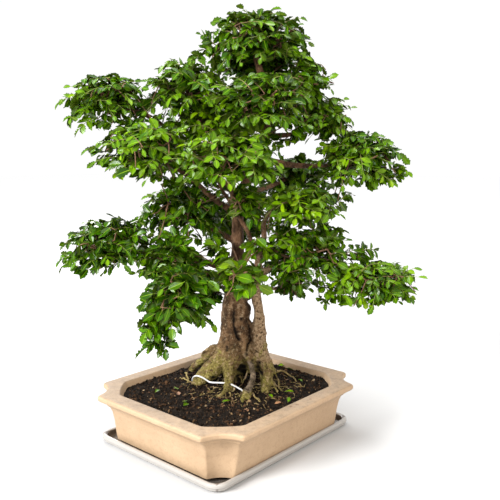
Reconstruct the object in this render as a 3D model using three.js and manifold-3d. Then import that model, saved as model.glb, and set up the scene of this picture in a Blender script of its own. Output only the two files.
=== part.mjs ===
// A privet bonsai in an oblong stoneware pot with scooped corners, on a plastic drip saucer.
//
// Millimetres, +Z up. The origin is the middle of the saucer's flat underside. X runs along the
// pot's short side and Y along its long side. The tree has directions of its own, r to its right
// and t to its back, turned about Z in the pot by TREE_TURN, and its places are written [r, t, z].

import * as THREE from "three";
import { mergeVertices } from "three/addons/utils/BufferGeometryUtils.js";
import Module from "manifold-3d";

const wasm = await Module();
wasm.setup();

// Clearance

const SEAT_GAP = 0.3; // left round a piece where it passes through another
const CELL_GAP = 0.5; // from a leaf to the plane that parts two pads

// Saucer: height, half width, half length and corner radius, from the underside over the rim

const SAUCER_FLOOR = 3;
const SAUCER_RINGS = [
  { z: 0, x: 136.6, y: 167, corner: 20 },
  { z: 1.5, x: 138.6, y: 169, corner: 22 },
  { z: 9.5, x: 138, y: 168.4, corner: 21.5 },
  { z: 12.5, x: 137, y: 167.4, corner: 21 },
  { z: 13.6, x: 135.2, y: 165.6, corner: 20 },
  { z: 13.2, x: 133, y: 163.4, corner: 18.5 },
  { z: 11.8, x: 131.2, y: 161.2, corner: 18 },
  { z: 4.2, x: 130.6, y: 160.6, corner: 17.5 },
  { z: SAUCER_FLOOR, x: 129.4, y: 159.4, corner: 17 },
];

// Pot: height, half width, half length, how much each corner is cut and how deep the cut is scooped

const POT_BASE = 11;
const POT_FLOOR = 20;
const POT_RIM = 86;
const POT_OUTSIDE = [
  { z: POT_BASE, x: 130.5, y: 153.5, cut: 28, scoop: 4.5 },
  { z: 20, x: 134, y: 156, cut: 30, scoop: 5.2 },
  { z: 42, x: 137.8, y: 158.4, cut: 32.5, scoop: 6.3 },
  { z: 57, x: 141.2, y: 161.4, cut: 34.5, scoop: 7 },
  { z: 65, x: 144.8, y: 164.8, cut: 36, scoop: 8 },
  { z: 66.2, x: 147.2, y: 167, cut: 37, scoop: 8.6 },
  { z: 71.5, x: 150.6, y: 170.4, cut: 38.5, scoop: 9.6 },
  { z: 75, x: 158, y: 177.6, cut: 41.5, scoop: 10.8 },
  { z: 78, x: 161.5, y: 181, cut: 43, scoop: 11.3 },
  { z: 83.5, x: 161.5, y: 181, cut: 43, scoop: 11.3 },
  { z: POT_RIM, x: 159, y: 178.5, cut: 42.6, scoop: 11.2 },
];
const INSIDE_BEND = 66; // where the inside turns out towards the rim
const POT_INSIDE = [
  { z: POT_RIM, x: 136.5, y: 154.5, cut: 44, scoop: -3 },
  { z: 84.5, x: 135, y: 153, cut: 43, scoop: -3 },
  { z: INSIDE_BEND, x: 127, y: 147, cut: 40, scoop: -2 },
  { z: POT_FLOOR, x: 121, y: 143, cut: 38, scoop: -1.5 },
];
const TIP_ROUND = 5; // how far before a cut corner its rounding starts
const FOOT_SIZE = 40;
const FOOT_PLACE = { x: 88, y: 108 };
const DRAIN_RADIUS = 11;
const DRAIN_PLACE = 75; // from the middle, along Y
const DRAIN_SIDES = 20;
const CORNER_SPANS = 5;

// Soil

const SOIL_EDGE = 77;
const SOIL_MOUND = 7; // how much higher it stands at the trunk
const SOIL_CRUMB = 1.7; // height of its lumps
const SOIL_SIDE_SPANS = 2;
const SOIL_RINGS = 5;

// Tree

const TREE_TURN = THREE.MathUtils.degToRad(43.5);

// Each limb: its line [r, t, z], its radius along it, its number of sides and how rough it is
const LIMBS = [
  // trunk
  { line: [[7, 24, 126], [6.5, 25, 165], [7.5, 25, 215], [13, 25, 262], [18, 25, 310], [18, 25, 358],
      [27, 28, 408], [45, 30, 451], [61, 30, 492], [66, 30, 540], [58, 28, 588], [48, 25, 622],
      [43, 23, 650]],
    radii: [24, 17.5, 15.5, 12.8, 10.8, 10, 9.5, 8.8, 8, 7, 6, 5, 3.5], sides: 9, rough: 0.1 },
  // foot of the trunk, from which the roots stand out
  { line: [[14, 28, 62], [12, 27, 86], [9, 22, 104], [7, 20, 122], [6, 22, 142], [6.5, 25, 164]],
    radii: [11, 15, 22, 29, 24.5, 16.5], sides: 9, rough: 0.1 },
  // old second lobe of the trunk, cut off in a knob
  { line: [[23, 22, 98], [24.5, 20, 116], [27.5, 20, 136], [29.5, 20, 156], [29.5, 20.5, 174],
      [25.5, 22, 191], [25, 22, 209], [21, 24, 232]],
    radii: [12, 16.5, 17, 17, 15.5, 12.5, 12, 8], sides: 7, rough: 0.12, dome: 0.5 },
  // second stem
  { line: [[63, 8, 92], [61, 6, 110], [57, 5, 130], [52.5, 5, 152], [52, 5, 176], [52.5, 4, 206],
      [47.5, 1, 238], [53, -4, 288], [65, -10, 330], [67, -14, 360], [76, -20, 384], [100, -42, 398]],
    radii: [12, 15, 14, 12, 10.8, 7.8, 8, 6.8, 5, 4.2, 4, 3], sides: 8, rough: 0.08 },
  // wood that joins the second stem to the trunk's foot
  { line: [[24, 20, 104], [44, 12, 117], [60, 6, 112]], radii: [18, 14, 13], sides: 8, rough: 0.1 },
  // surface roots
  { line: [[0, 16, 126], [-16, 11, 118], [-26, 9, 107], [-37, 8, 98], [-48, 9, 87], [-60, 12, 68]],
    radii: [18, 17, 15.5, 13.8, 11, 7], sides: 6, rough: 0.12 },
  { line: [[-2, 34, 134], [-27, 38, 126], [-38, 48, 115], [-54, 66, 98], [-64, 82, 84], [-68, 90, 66]],
    radii: [12, 9, 6.5, 6, 5, 4], sides: 6, rough: 0.1 },
  { line: [[-8, 28, 139], [-23, 30, 142], [-33, 34, 137], [-42, 40, 128], [-44, 47, 119],
      [-39, 50, 112]],
    radii: [6, 3.4, 2.6, 2.4, 2.6, 3], sides: 4, rough: 0.08 },
  { line: [[4, 8, 124], [1.8, -2, 112], [1.7, -12, 99], [1, -24, 86], [0, -34, 68]],
    radii: [11, 9.5, 8.8, 8.4, 5], sides: 6, rough: 0.12 },
  { line: [[1, -20, 90], [-8, -44, 84], [-19, -66, 78], [-24, -74, 68]],
    radii: [6, 3.6, 2.6, 2], sides: 4, rough: 0.08 },
  { line: [[32, 6, 138], [39, -8, 123], [41, -22, 105], [35, -38, 93], [24, -66, 85], [18, -84, 70]],
    radii: [8.5, 6, 5.4, 5, 3.4, 2.2], sides: 6, rough: 0.08 },
  { line: [[36, -36, 94], [35, -52, 88], [32, -66, 80], [30, -74, 68]],
    radii: [4.4, 3.6, 2.8, 2.2], sides: 4, rough: 0.06 },
  { line: [[57, 5, 134], [66, -2, 115], [64, -12, 97], [62, -28, 84], [62, -38, 66]],
    radii: [12, 11, 9.5, 8, 5], sides: 6, rough: 0.1 },
  { line: [[70, 3, 118], [77, 0, 108], [82, -2, 98], [87, -1, 84], [89, -1, 66]],
    radii: [5, 2.6, 2, 1.9, 1.8], sides: 4, rough: 0.06 },
  { line: [[66, -6, 108], [71, -12, 98], [76, -22, 90], [82, -38, 81], [86, -46, 68]],
    radii: [5, 2.6, 2.2, 2, 1.8], sides: 4, rough: 0.06 },
  { line: [[34, 34, 112], [62, 52, 96], [80, 66, 84], [96, 78, 64]],
    radii: [16, 9, 7, 5], sides: 6, rough: 0.12 },
  { line: [[12, 40, 114], [10, 66, 96], [2, 86, 84], [-6, 104, 64]],
    radii: [16, 9, 7, 5], sides: 6, rough: 0.12 },
  // branches, each from the wood that bears it to the middle of its pad
  { line: [[62, 29, 556], [96, 30, 560], [136, 30, 578]], radii: [5, 3.5, 2.5], sides: 4, rough: 0.06 },
  { line: [[62, 29, 576], [64, 62, 588], [62, 96, 604]], radii: [4.5, 3.6, 2.5], sides: 4, rough: 0.06 },
  { line: [[65, 30, 512], [66, -2, 522], [59, -30, 540]], radii: [5, 3.8, 2.5], sides: 4, rough: 0.06 },
  { line: [[60, 30, 488], [20, 24, 496], [-20, 20, 507]], radii: [5, 3.8, 2.5], sides: 4, rough: 0.06 },
  { line: [[18, 24, 366], [24, -4, 378], [30, -26, 388]], radii: [4.5, 3.6, 2.5], sides: 4, rough: 0.06 },
  { line: [[14, 25, 262], [-30, 6, 276], [-86, -18, 292]], radii: [5, 4, 2.6], sides: 4, rough: 0.06 },
  { line: [[66, 30, 526], [20, 24, 538], [-44, 12, 560]], radii: [5.5, 4, 2.6], sides: 4, rough: 0.06 },
  { line: [[24, 27, 398], [-16, 26, 430], [-60, 24, 474], [-120, 20, 526], [-180, 20, 548]],
    radii: [7, 6.2, 5.2, 4, 2.8], sides: 6, rough: 0.08 },
  { line: [[18, 25, 372], [-16, 16, 392], [-70, -14, 440], [-120, -46, 468]],
    radii: [6, 5, 4, 2.8], sides: 5, rough: 0.08 },
  { line: [[18, 25, 352], [12, -20, 390], [0, -72, 438]], radii: [5.5, 4.4, 2.8], sides: 4, rough: 0.06 },
  { line: [[62, 30, 498], [112, 30, 502], [158, 28, 520]], radii: [5, 4, 2.6], sides: 4, rough: 0.06 },
  { line: [[50, 30, 464], [100, 24, 452], [152, 16, 450], [204, 10, 458]],
    radii: [6, 5, 4, 2.8], sides: 5, rough: 0.08 },
  { line: [[17, 25, 322], [-22, 38, 342], [-68, 49, 366]], radii: [6, 4.6, 3], sides: 5, rough: 0.08 },
  { line: [[14, 25, 272], [-40, 24, 290], [-110, 12, 306], [-182, 1, 318]],
    radii: [7, 5.6, 4.4, 3], sides: 6, rough: 0.08 },
  { line: [[11, 25, 246], [-14, -14, 272], [-44, -66, 280], [-66, -96, 258]],
    radii: [5.5, 4.6, 3.8, 2.8], sides: 5, rough: 0.08 },
  { line: [[50, -2, 258], [40, -44, 276], [20, -88, 283]],
    radii: [4.5, 3.6, 2.4], sides: 4, rough: 0.06 },
  { line: [[52, -3, 272], [84, -8, 290], [128, -12, 304], [184, -20, 290], [236, -30, 277]],
    radii: [6.4, 5.6, 4.6, 3.8, 2.6], sides: 6, rough: 0.08 },
  { line: [[24, 24, 222], [56, 56, 232], [98, 96, 230]], radii: [6, 4.4, 2.6], sides: 4, rough: 0.06 },
  { line: [[66, 30, 528], [56, 72, 540], [44, 112, 556]], radii: [5, 4, 2.6], sides: 4, rough: 0.06 },
  { line: [[36, 29, 430], [-20, 76, 446], [-82, 128, 462]],
    radii: [5.5, 4.4, 2.8], sides: 4, rough: 0.06 },
  { line: [[26, 28, 404], [70, 76, 412], [114, 124, 426]],
    radii: [5.5, 4.4, 2.8], sides: 4, rough: 0.06 },
  { line: [[18, 26, 316], [22, 84, 326], [20, 142, 342]], radii: [5.5, 4.4, 2.8], sides: 4, rough: 0.06 },
];

// Foliage: the middle of each pad [r, t, z], its half width, depth and height, and how many fronds
// its upper and its lower whorl have
const PADS = [
  { name: "apex", at: [54, 30, 648], half: [97, 81, 58], fronds: [2, 3] },
  { name: "apex_right", at: [143, 30, 576], half: [56, 59, 56], fronds: [1, 2] },
  { name: "apex_back", at: [62, 100, 609], half: [83, 66, 48], fronds: [2, 1] },
  { name: "crown_front", at: [55, -35, 545], half: [86, 59, 55], fronds: [2, 2] },
  { name: "shoulder_left", at: [-64, 10, 570], half: [83, 69, 54], fronds: [1, 2] },
  { name: "crown_left", at: [-24, 20, 511], half: [71, 57, 44], fronds: [1, 1] },
  { name: "far_left_upper", at: [-196, 20, 558], half: [76, 61, 43], fronds: [1, 3] },
  { name: "left_mid_front", at: [-132, -50, 475], half: [94, 64, 45], fronds: [2, 3] },
  { name: "centre_mid", at: [2, -85, 458], half: [89, 59, 47], fronds: [2, 2] },
  { name: "right_upper", at: [166, 28, 521], half: [53, 55, 38], fronds: [1, 2] },
  { name: "right_mid", at: [214, 10, 459], half: [85, 65, 50], fronds: [2, 3] },
  { name: "centre_right", at: [113, -50, 403], half: [78, 58, 42], fronds: [1, 2] },
  { name: "centre_fill", at: [30, -30, 391], half: [47, 43, 33], fronds: [1, 1] },
  { name: "left_mid_back", at: [-73, 50, 372], half: [85, 64, 47], fronds: [1, 2] },
  { name: "far_left_lower", at: [-191, 0, 321], half: [87, 61, 46], fronds: [1, 3] },
  { name: "left_low_inner", at: [-92, -20, 297], half: [64, 51, 38], fronds: [1, 1] },
  { name: "left_hanging", at: [-65, -100, 247], half: [60, 50, 66], fronds: [1, 3] },
  { name: "centre_low", at: [16, -95, 288], half: [36, 32, 25], fronds: [1, 1] },
  { name: "right_low", at: [128, -10, 304], half: [88, 62, 52], fronds: [1, 2] },
  { name: "right_low_far", at: [243, -30, 274], half: [81, 60, 44], fronds: [1, 3] },
  { name: "right_low_back", at: [105, 90, 227], half: [54, 49, 30], fronds: [1, 1] },
  { name: "back_crown", at: [30, 128, 536], half: [84, 60, 44], fronds: [1, 2] },
  { name: "back_left", at: [-92, 134, 458], half: [80, 62, 42], fronds: [1, 2] },
  { name: "back_right", at: [124, 130, 424], half: [84, 62, 44], fronds: [1, 2] },
  { name: "back_low", at: [16, 150, 340], half: [80, 58, 40], fronds: [1, 2] },
];
const PAD_FULLNESS = 0.75; // below 1, a pad's top and underside are flatter than an ellipsoid's

// A pad is covered by tiers of pointed leaves, each tier overhanging the next and set off by half
// a leaf. Angles are degrees from the pad's top, shares are of its half sizes.
const TIERS = [103, 71, 40];
const WIDTH_PER_LEAF = 9; // mm of a pad's half width for each leaf in a tier
const FEWEST_LEAVES = 6;
const LEAF_TIP = 1.02;
const LEAF_NOTCH = 0.68; // between two leaves of a tier
const LEAF_TIP_DROOP = 4; // degrees
const TIER_UNEVEN = 0.09;
const TIER_TUCK = 0.6; // where a tier goes in under the one above
const TIER_TUCK_RISE = 5; // degrees
const LEAF_FOLD = 0.1; // how much further in it goes between two leaves, which folds each at its rib
const TUCK_GIVE = 0.75; // how far a tuck stays back from a neighbour's plane
const STEP_BACK = 0.96; // from one try to the next at staying clear of a neighbour
const PAD_TOP = 0.92;
const PAD_UNDERSIDE = 0.45;

// Between the tiers stand fronds: a rib with paired leaves and an end leaf, cut to the rib, in one
// thin arched blade that is thickest along the rib. The rib roots well inside the pad, bends over
// under a point above the pad's surface and ends just out of it. Each of the three is given as
// degrees from the pad's top and a share of its half sizes.
const UPPER_WHORL = { root: [24, 0.5], bend: [44, 1.12], tip: [74, 1.12], pairs: 2 };
const LOWER_WHORL = { root: [66, 0.5], bend: [80, 0.92], tip: [99, 1.12], pairs: 1 };
const TIP_SPREAD = 12; // degrees by which the fronds' tips differ
const TURN_SPREAD = 0.3; // of the angle between two fronds
const FROND_FITS = [1, 0.88, 0.76, 0.64, 0.52]; // shares of its length tried where neighbours are near
const LEAF_TUCK = 0.25; // the least share of a leaf's reach that is left where a neighbour is near
const TUCK_STEP = 0.15;
const RIB_HALF = 1.4; // half the rib's width
const RIB_THICK = 2.4;
const STALK = 14; // from the root to the first pair
const PAIR_PITCH = 24;
const END_PITCH = 0.8; // of a pitch, from the last pair to the end leaf
const LEAF_LONG = 34;
const LEAF_WIDE = 19.5;
const LEAF_SHORTEST = 7;
const LEAF_UNEVEN = 0.1; // of its length
const LEAF_WIDEST = 0.5; // of its length, where a leaf is widest
const LEAF_LEAN = THREE.MathUtils.degToRad(56); // from the rib to a side leaf
const LEAF_DROOP = 0.16; // of its length, at a leaf's tip

// Tie wire: a stiff coated wire laid over the roots, both ends in the soil
const WIRE_RADIUS = 1.4;
const WIRE_SIDES = 6;
const WIRE_LINE = [
  [-62, 26, 70], [-61, 20, 84], [-58, 8, 95], [-51, -4, 101], [-42, -8, 99], [-35.5, -9, 95],
  [-31, -11, 92.6], [-24, -15, 92.8], [-11, -20, 94], [0, -24.5, 94.5], [8, -27, 92.4], [17, -31, 88.8],
  [24, -36, 85.5], [27, -38, 74],
];

// Looks

const POT_CLAY = { color: 0xd9bb90, roughness: 0.6, metalness: 0 };
const SAUCER_PLASTIC = { color: 0xf2f1ee, roughness: 0.3, metalness: 0 };
const SOIL_EARTH = { color: 0x2a211b, roughness: 0.95, metalness: 0 };
const BARK = { color: 0x6d5c4a, roughness: 0.85, metalness: 0 };
const LEAF_GREEN = { color: 0x4c7a2c, roughness: 0.45, metalness: 0 };
const WIRE_WHITE = { color: 0xe8e8e6, roughness: 0.35, metalness: 0 };

// Helpers

// A seeded source of numbers from 0 to 1
function seeded(seed) {
  let state = seed >>> 0;
  return () => {
    state = (state + 0x6d2b79f5) >>> 0;
    let mixed = Math.imul(state ^ (state >>> 15), state | 1);
    mixed ^= mixed + Math.imul(mixed ^ (mixed >>> 7), mixed | 61);
    return ((mixed ^ (mixed >>> 14)) >>> 0) / 4294967296;
  };
}

// A place in the tree's own directions, in the part's frame
function inTree([r, t, z]) {
  const turned = new THREE.Vector3(r, t, z);
  return turned.applyAxisAngle(new THREE.Vector3(0, 0, 1), TREE_TURN);
}

function solid(positions, triangles) {
  const mesh = new wasm.Mesh({
    numProp: 3,
    vertProperties: new Float32Array(positions),
    triVerts: new Uint32Array(triangles),
  });
  return new wasm.Manifold(mesh);
}

// A three.js primitive as a solid, moved to its place
function primitive(geometry, x, y, z) {
  geometry.translate(x, y, z);
  geometry.deleteAttribute("normal");
  geometry.deleteAttribute("uv");
  const merged = mergeVertices(geometry);
  return solid(merged.attributes.position.array, merged.index.array);
}

function geometryOf(manifold) {
  const { vertProperties, triVerts } = manifold.getMesh();
  const geometry = new THREE.BufferGeometry();
  geometry.setAttribute("position", new THREE.BufferAttribute(vertProperties, 3));
  geometry.setIndex(new THREE.BufferAttribute(triVerts, 1));
  return geometry;
}

// The largest body of a solid, without the scraps that a cut leaves
function largest(manifold) {
  const bodies = manifold.decompose();
  return bodies.reduce((best, body) => (body.volume() > best.volume() ? body : best));
}

// A closed solid through rings of points, from the first ring's cap to the last one's. Seen from
// the end that it grows towards, each ring runs anticlockwise.
function loft(rings, firstMiddle, lastMiddle) {
  const count = rings[0].length;
  const positions = [...rings.flat(), firstMiddle, lastMiddle].flatMap((p) => [p.x, p.y, p.z]);
  const first = rings.length * count;
  const last = first + 1;
  const triangles = [];
  for (let k = 0; k < count; k += 1) {
    const next = (k + 1) % count;
    triangles.push(first, next, k);
    for (let row = 0; row < rings.length - 1; row += 1) {
      const low = row * count;
      const high = low + count;
      triangles.push(low + k, low + next, high + next, low + k, high + next, high + k);
    }
    triangles.push(last, first - count + k, first - count + next);
  }
  return solid(positions, triangles);
}

// Outlines of the saucer and the pot

function roundCorner({ corner }) {
  return Array.from({ length: CORNER_SPANS + 1 }, (_, k) => {
    const angle = (k / CORNER_SPANS) * (Math.PI / 2);
    return [corner * (Math.cos(angle) - 1), corner * (Math.sin(angle) - 1)];
  });
}

function scoopedCorner({ cut, scoop }) {
  const shares = [0.06, 0.27, 0.5, 0.73, 0.94];
  const points = shares.map((share) => {
    const depth = (scoop * 4 * share * (1 - share)) / Math.SQRT2;
    return [-cut * share - depth, -cut * (1 - share) - depth];
  });
  return [[0, -cut - TIP_ROUND], ...points, [-cut - TIP_ROUND, 0]];
}

// One ring of an oblong outline: the corner's points in all four corners, each straight side
// split in sideSpans
function ring(row, cornerPoints, sideSpans = 1) {
  const corner = cornerPoints(row);
  const mirrored = [...corner].reverse();
  const turns = [[1, 1, corner], [-1, 1, mirrored], [-1, -1, corner], [1, -1, mirrored]];
  const points = turns.flatMap(([alongX, alongY, list]) => list.map(
    ([dx, dy]) => new THREE.Vector3(alongX * (row.x + dx), alongY * (row.y + dy), row.z),
  ));
  const spans = corner.length;
  return points.flatMap((point, k) => {
    const next = points[(k + 1) % points.length];
    const steps = k % spans === spans - 1 ? sideSpans : 1;
    return Array.from({ length: steps }, (_, step) => point.clone().lerp(next, step / steps));
  });
}

function middle(z) {
  return new THREE.Vector3(0, 0, z);
}

function saucer() {
  const rings = SAUCER_RINGS.map((row) => ring(row, roundCorner));
  return loft(rings, middle(0), middle(SAUCER_FLOOR));
}

function drainHole(y, radius, from, to) {
  const cylinder = new THREE.CylinderGeometry(radius, radius, to - from, DRAIN_SIDES);
  cylinder.rotateX(Math.PI / 2);
  return primitive(cylinder, 0, y, (from + to) / 2);
}

function pot() {
  const rings = [...POT_OUTSIDE, ...POT_INSIDE].map((row) => ring(row, scoopedCorner));
  let body = loft(rings, middle(POT_BASE), middle(POT_FLOOR));
  const sunk = 2;
  const tall = POT_BASE - SAUCER_FLOOR + sunk;
  for (const side of [-1, 1]) {
    for (const end of [-1, 1]) {
      const foot = new THREE.BoxGeometry(FOOT_SIZE, FOOT_SIZE, tall);
      const z = SAUCER_FLOOR + tall / 2;
      body = body.add(primitive(foot, side * FOOT_PLACE.x, end * FOOT_PLACE.y, z));
    }
    body = body.subtract(drainHole(side * DRAIN_PLACE, DRAIN_RADIUS, POT_BASE - 1, POT_FLOOR + 1));
  }
  return body;
}

// The pot's inside at a height, drawn in by the gap that the soil leaves
function soilRow(z) {
  const above = POT_INSIDE.findLast((row) => row.z >= z);
  const below = POT_INSIDE[Math.min(POT_INSIDE.indexOf(above) + 1, POT_INSIDE.length - 1)];
  const share = above.z === below.z ? 0 : (z - below.z) / (above.z - below.z);
  const between = (key) => THREE.MathUtils.lerp(below[key], above[key], share);
  return {
    z, x: between("x") - SEAT_GAP, y: between("y") - SEAT_GAP, cut: between("cut"), scoop: between("scoop"),
  };
}

function soil(cutters) {
  const draw = seeded(11);
  const levels = [POT_FLOOR + SEAT_GAP, INSIDE_BEND, SOIL_EDGE];
  const sides = levels.map((z) => ring(soilRow(z), scoopedCorner, SOIL_SIDE_SPANS));
  const edge = sides.at(-1);
  const tops = Array.from({ length: SOIL_RINGS - 1 }, (_, k) => {
    const share = 1 - (k + 1) / SOIL_RINGS;
    return edge.map((point) => {
      const height = SOIL_EDGE + SOIL_MOUND * (1 - share * share) + SOIL_CRUMB * (2 * draw() - 1);
      const slide = share + (0.3 * (draw() - 0.5)) / SOIL_RINGS;
      return new THREE.Vector3(point.x * slide, point.y * slide, height);
    });
  });
  let body = loft([...sides, ...tops], middle(POT_FLOOR + SEAT_GAP), middle(SOIL_EDGE + SOIL_MOUND));
  for (const side of [-1, 1]) {
    const radius = DRAIN_RADIUS - SEAT_GAP;
    body = body.add(drainHole(side * DRAIN_PLACE, radius, POT_BASE, POT_FLOOR + 2));
  }
  return largest(cutters.reduce((rest, cutter) => rest.subtract(cutter), body));
}

// Wood

// A limb grown outwards by grow all over: rings of a rough section along a smooth line
function limb({ line, radii, sides, rough, dome = 0.3 }, seed, grow) {
  const draw = seeded(seed);
  const curve = new THREE.CatmullRomCurve3(line.map(inTree), false, "centripetal");
  const steps = line.length - 1;
  const frames = curve.computeFrenetFrames(steps);
  const rings = [];
  for (let step = 0; step <= steps; step += 1) {
    // the frames are spaced evenly along the line, the radii belong to its points
    const share = step / steps;
    const place = curve.getPointAt(share);
    const stretch = curve.getUtoTmapping(share) * (radii.length - 1);
    const from = Math.min(Math.floor(stretch), radii.length - 2);
    const radius = THREE.MathUtils.lerp(radii[from], radii[from + 1], stretch - from);
    if (step === 0) place.addScaledVector(frames.tangents[0], -grow);
    if (step === steps) place.addScaledVector(frames.tangents[steps], grow);
    rings.push(Array.from({ length: sides }, (_, k) => {
      const angle = (k / sides) * 2 * Math.PI;
      const reach = radius * (1 + rough * (2 * draw() - 1)) + grow;
      const spoke = frames.normals[step].clone().multiplyScalar(Math.cos(angle) * reach);
      spoke.addScaledVector(frames.binormals[step], Math.sin(angle) * reach);
      return place.clone().add(spoke);
    }));
  }
  const start = curve.getPointAt(0).addScaledVector(frames.tangents[0], -grow);
  const end = curve.getPointAt(1).addScaledVector(frames.tangents[steps], radii.at(-1) * dome + grow);
  return loft(rings, start, end);
}

function wood(grow) {
  return LIMBS.map((shape, k) => limb(shape, 100 + k, grow)).reduce((tree, part) => tree.add(part));
}

function wire(grow) {
  const radii = [WIRE_RADIUS, WIRE_RADIUS];
  return limb({ line: WIRE_LINE, radii, sides: WIRE_SIDES, rough: 0, dome: 0 }, 1, grow);
}

// Foliage

// The planes that part a pad from its neighbours: a point of the pad has normal . point < limit
function cellOf(pad) {
  const here = inTree(pad.at);
  return PADS.filter((other) => other !== pad).map((other) => {
    const towards = new THREE.Vector3(...other.at).sub(new THREE.Vector3(...pad.at));
    const apart = towards.length();
    towards.normalize();
    const reach = ({ half }) => 1 / Math.hypot(towards.x / half[0], towards.y / half[1], towards.z / half[2]);
    const share = reach(pad) / (reach(pad) + reach(other));
    const normal = inTree(towards.toArray());
    return { normal, limit: normal.dot(here) + apart * share - CELL_GAP };
  });
}

function inside(cell, point) {
  return cell.every(({ normal, limit }) => normal.dot(point) < limit);
}

// A point of the pad: a unit direction times a share of its half sizes, in the tree's directions
function onPad({ at, half }, way, share) {
  const [r, t, up] = way.toArray().map((part) => part * share);
  const height = Math.sign(up) * Math.abs(up) ** PAD_FULLNESS;
  return inTree([at[0] + r * half[0], at[1] + t * half[1], at[2] + height * half[2]]);
}

function direction(fromTop, turn) {
  const flat = Math.sin(fromTop);
  return new THREE.Vector3(flat * Math.cos(turn), flat * Math.sin(turn), Math.cos(fromTop));
}

// The leafy body of a pad, from its underside to its top: for each tier a ring where it goes in
// under the tier above, and a zigzag ring of leaf tips and the notches between them
function leafTiers(pad, cell, draw) {
  const leaves = Math.max(Math.round(pad.half[0] / WIDTH_PER_LEAF), FEWEST_LEAVES);
  const points = 2 * leaves;
  const firstTurn = draw() * 2 * Math.PI;
  const reach = (degrees, k, share, give = 1) => {
    const turn = firstTurn + (k / points) * 2 * Math.PI;
    const way = direction(THREE.MathUtils.degToRad(degrees), turn);
    let limit = LEAF_TIP + TIER_UNEVEN;
    while (!inside(cell, onPad(pad, way, limit))) limit *= STEP_BACK;
    return onPad(pad, way, Math.min(share, limit * give));
  };
  const ringOf = (at) => Array.from({ length: points }, (_, k) => at(k));
  const rings = TIERS.flatMap((degrees, tier) => {
    const isTip = (k) => (k + tier) % 2 === 0;
    const tuck = ringOf((k) => {
      const share = isTip(k) ? TIER_TUCK : TIER_TUCK - LEAF_FOLD;
      return reach(degrees - TIER_TUCK_RISE, k, share, TUCK_GIVE);
    });
    const ends = ringOf((k) => {
      const uneven = TIER_UNEVEN * (2 * draw() - 1);
      return isTip(k)
        ? reach(degrees + LEAF_TIP_DROOP, k, LEAF_TIP + uneven)
        : reach(degrees - LEAF_TIP_DROOP, k, LEAF_NOTCH + uneven);
    });
    return [tuck, ends];
  });
  return loft(rings, reach(180, 0, PAD_UNDERSIDE), reach(0, 0, PAD_TOP));
}

// A side leaf's two widest points with its tip between them, seen from its node on the rib. Each
// point of a frond's outline has its place along the rib and beside it, and its share of the droop.
function sideLeaf(node, long) {
  const wide = LEAF_WIDE * Math.sqrt(long / LEAF_LONG);
  const leafPoint = (ahead, out) => ({
    x: node + ahead * Math.cos(LEAF_LEAN) + out * Math.sin(LEAF_LEAN),
    y: RIB_HALF + ahead * Math.sin(LEAF_LEAN) - out * Math.cos(LEAF_LEAN),
    droop: ahead / LEAF_LONG,
  });
  const widest = long * LEAF_WIDEST;
  return [leafPoint(widest, -wide / 2), leafPoint(long, 0), leafPoint(widest, wide / 2)];
}

// A frond's outline beside its rib, from the stalk to the end leaf, and the nodes on the rib.
// Side leaves are no longer than room(place along the rib) lets them be.
function frondOutline(pairs, room, draw) {
  const nodes = Array.from({ length: pairs }, (_, k) => STALK + PAIR_PITCH * k);
  const endNode = nodes.at(-1) + PAIR_PITCH * END_PITCH;
  const onRib = (x) => ({ x, y: RIB_HALF, droop: 0 });
  const edge = [onRib(0), onRib(STALK / 2)];
  nodes.forEach((node, k) => {
    const full = LEAF_LONG * (1 + LEAF_UNEVEN * (2 * draw() - 1));
    const notch = k < pairs - 1 ? node + PAIR_PITCH / 2 : endNode - 1;
    edge.push(...sideLeaf(node, Math.min(full, room(node + LEAF_LONG / 2))), onRib(notch));
  });
  edge.push({ x: endNode + LEAF_LONG * LEAF_WIDEST, y: LEAF_WIDE / 2, droop: LEAF_WIDEST });
  const tip = { x: endNode + LEAF_LONG, y: 0, droop: 1 };
  const rib = [...nodes, endNode + LEAF_LONG * LEAF_WIDEST].map((x) => ({ x, y: 0, droop: 0 }));
  return { edge, tip, rib };
}

// The upper skin's triangles, over points listed as right edge from end leaf to stalk, left edge
// from stalk to end leaf, tip, rib nodes: fans from each node over its own leaves
function frondSkin(pairs, edgeCount) {
  const left = (k) => edgeCount + k;
  const right = (k) => edgeCount - 1 - k;
  const tip = 2 * edgeCount;
  const node = (k) => tip + 1 + k;
  const stalk = [[right(0), right(1), node(0)], [right(0), node(0), left(0)], [left(0), node(0), left(1)]];
  const triangles = stalk;
  const bothSides = (a, b, c) => {
    const across = (k) => (k < tip ? tip - 1 - k : k);
    triangles.push([a, b, c], [across(a), across(c), across(b)]);
  };
  for (let pair = 0; pair < pairs; pair += 1) {
    const start = 1 + 4 * pair;
    for (let k = start; k < start + 4; k += 1) bothSides(node(pair), left(k + 1), left(k));
    bothSides(node(pair), node(pair + 1), left(start + 4));
  }
  const endNotch = 1 + 4 * pairs;
  bothSides(node(pairs), left(endNotch + 1), left(endNotch));
  bothSides(node(pairs), tip, left(endNotch + 1));
  return triangles;
}

// The line of a frond's rib on its pad, and what share of full size the frond has there
function ribOf(pad, whorl, turn, fit, draw) {
  const onWay = ([degrees, share]) => onPad(pad, direction(THREE.MathUtils.degToRad(degrees), turn), share);
  const [tipDegrees, tipShare] = whorl.tip;
  const root = onWay(whorl.root);
  const bend = root.clone().lerp(onWay(whorl.bend), fit);
  const tip = root.clone().lerp(onWay([tipDegrees + TIP_SPREAD * (draw() - 0.5), tipShare]), fit);
  const line = new THREE.QuadraticBezierCurve3(root, bend, tip);
  const full = STALK + PAIR_PITCH * (whorl.pairs - 1 + END_PITCH) + LEAF_LONG;
  const at = (x) => line.getPoint(THREE.MathUtils.clamp(x / full, 0, 1));
  return { at, full, scale: line.getLength() / full };
}

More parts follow.
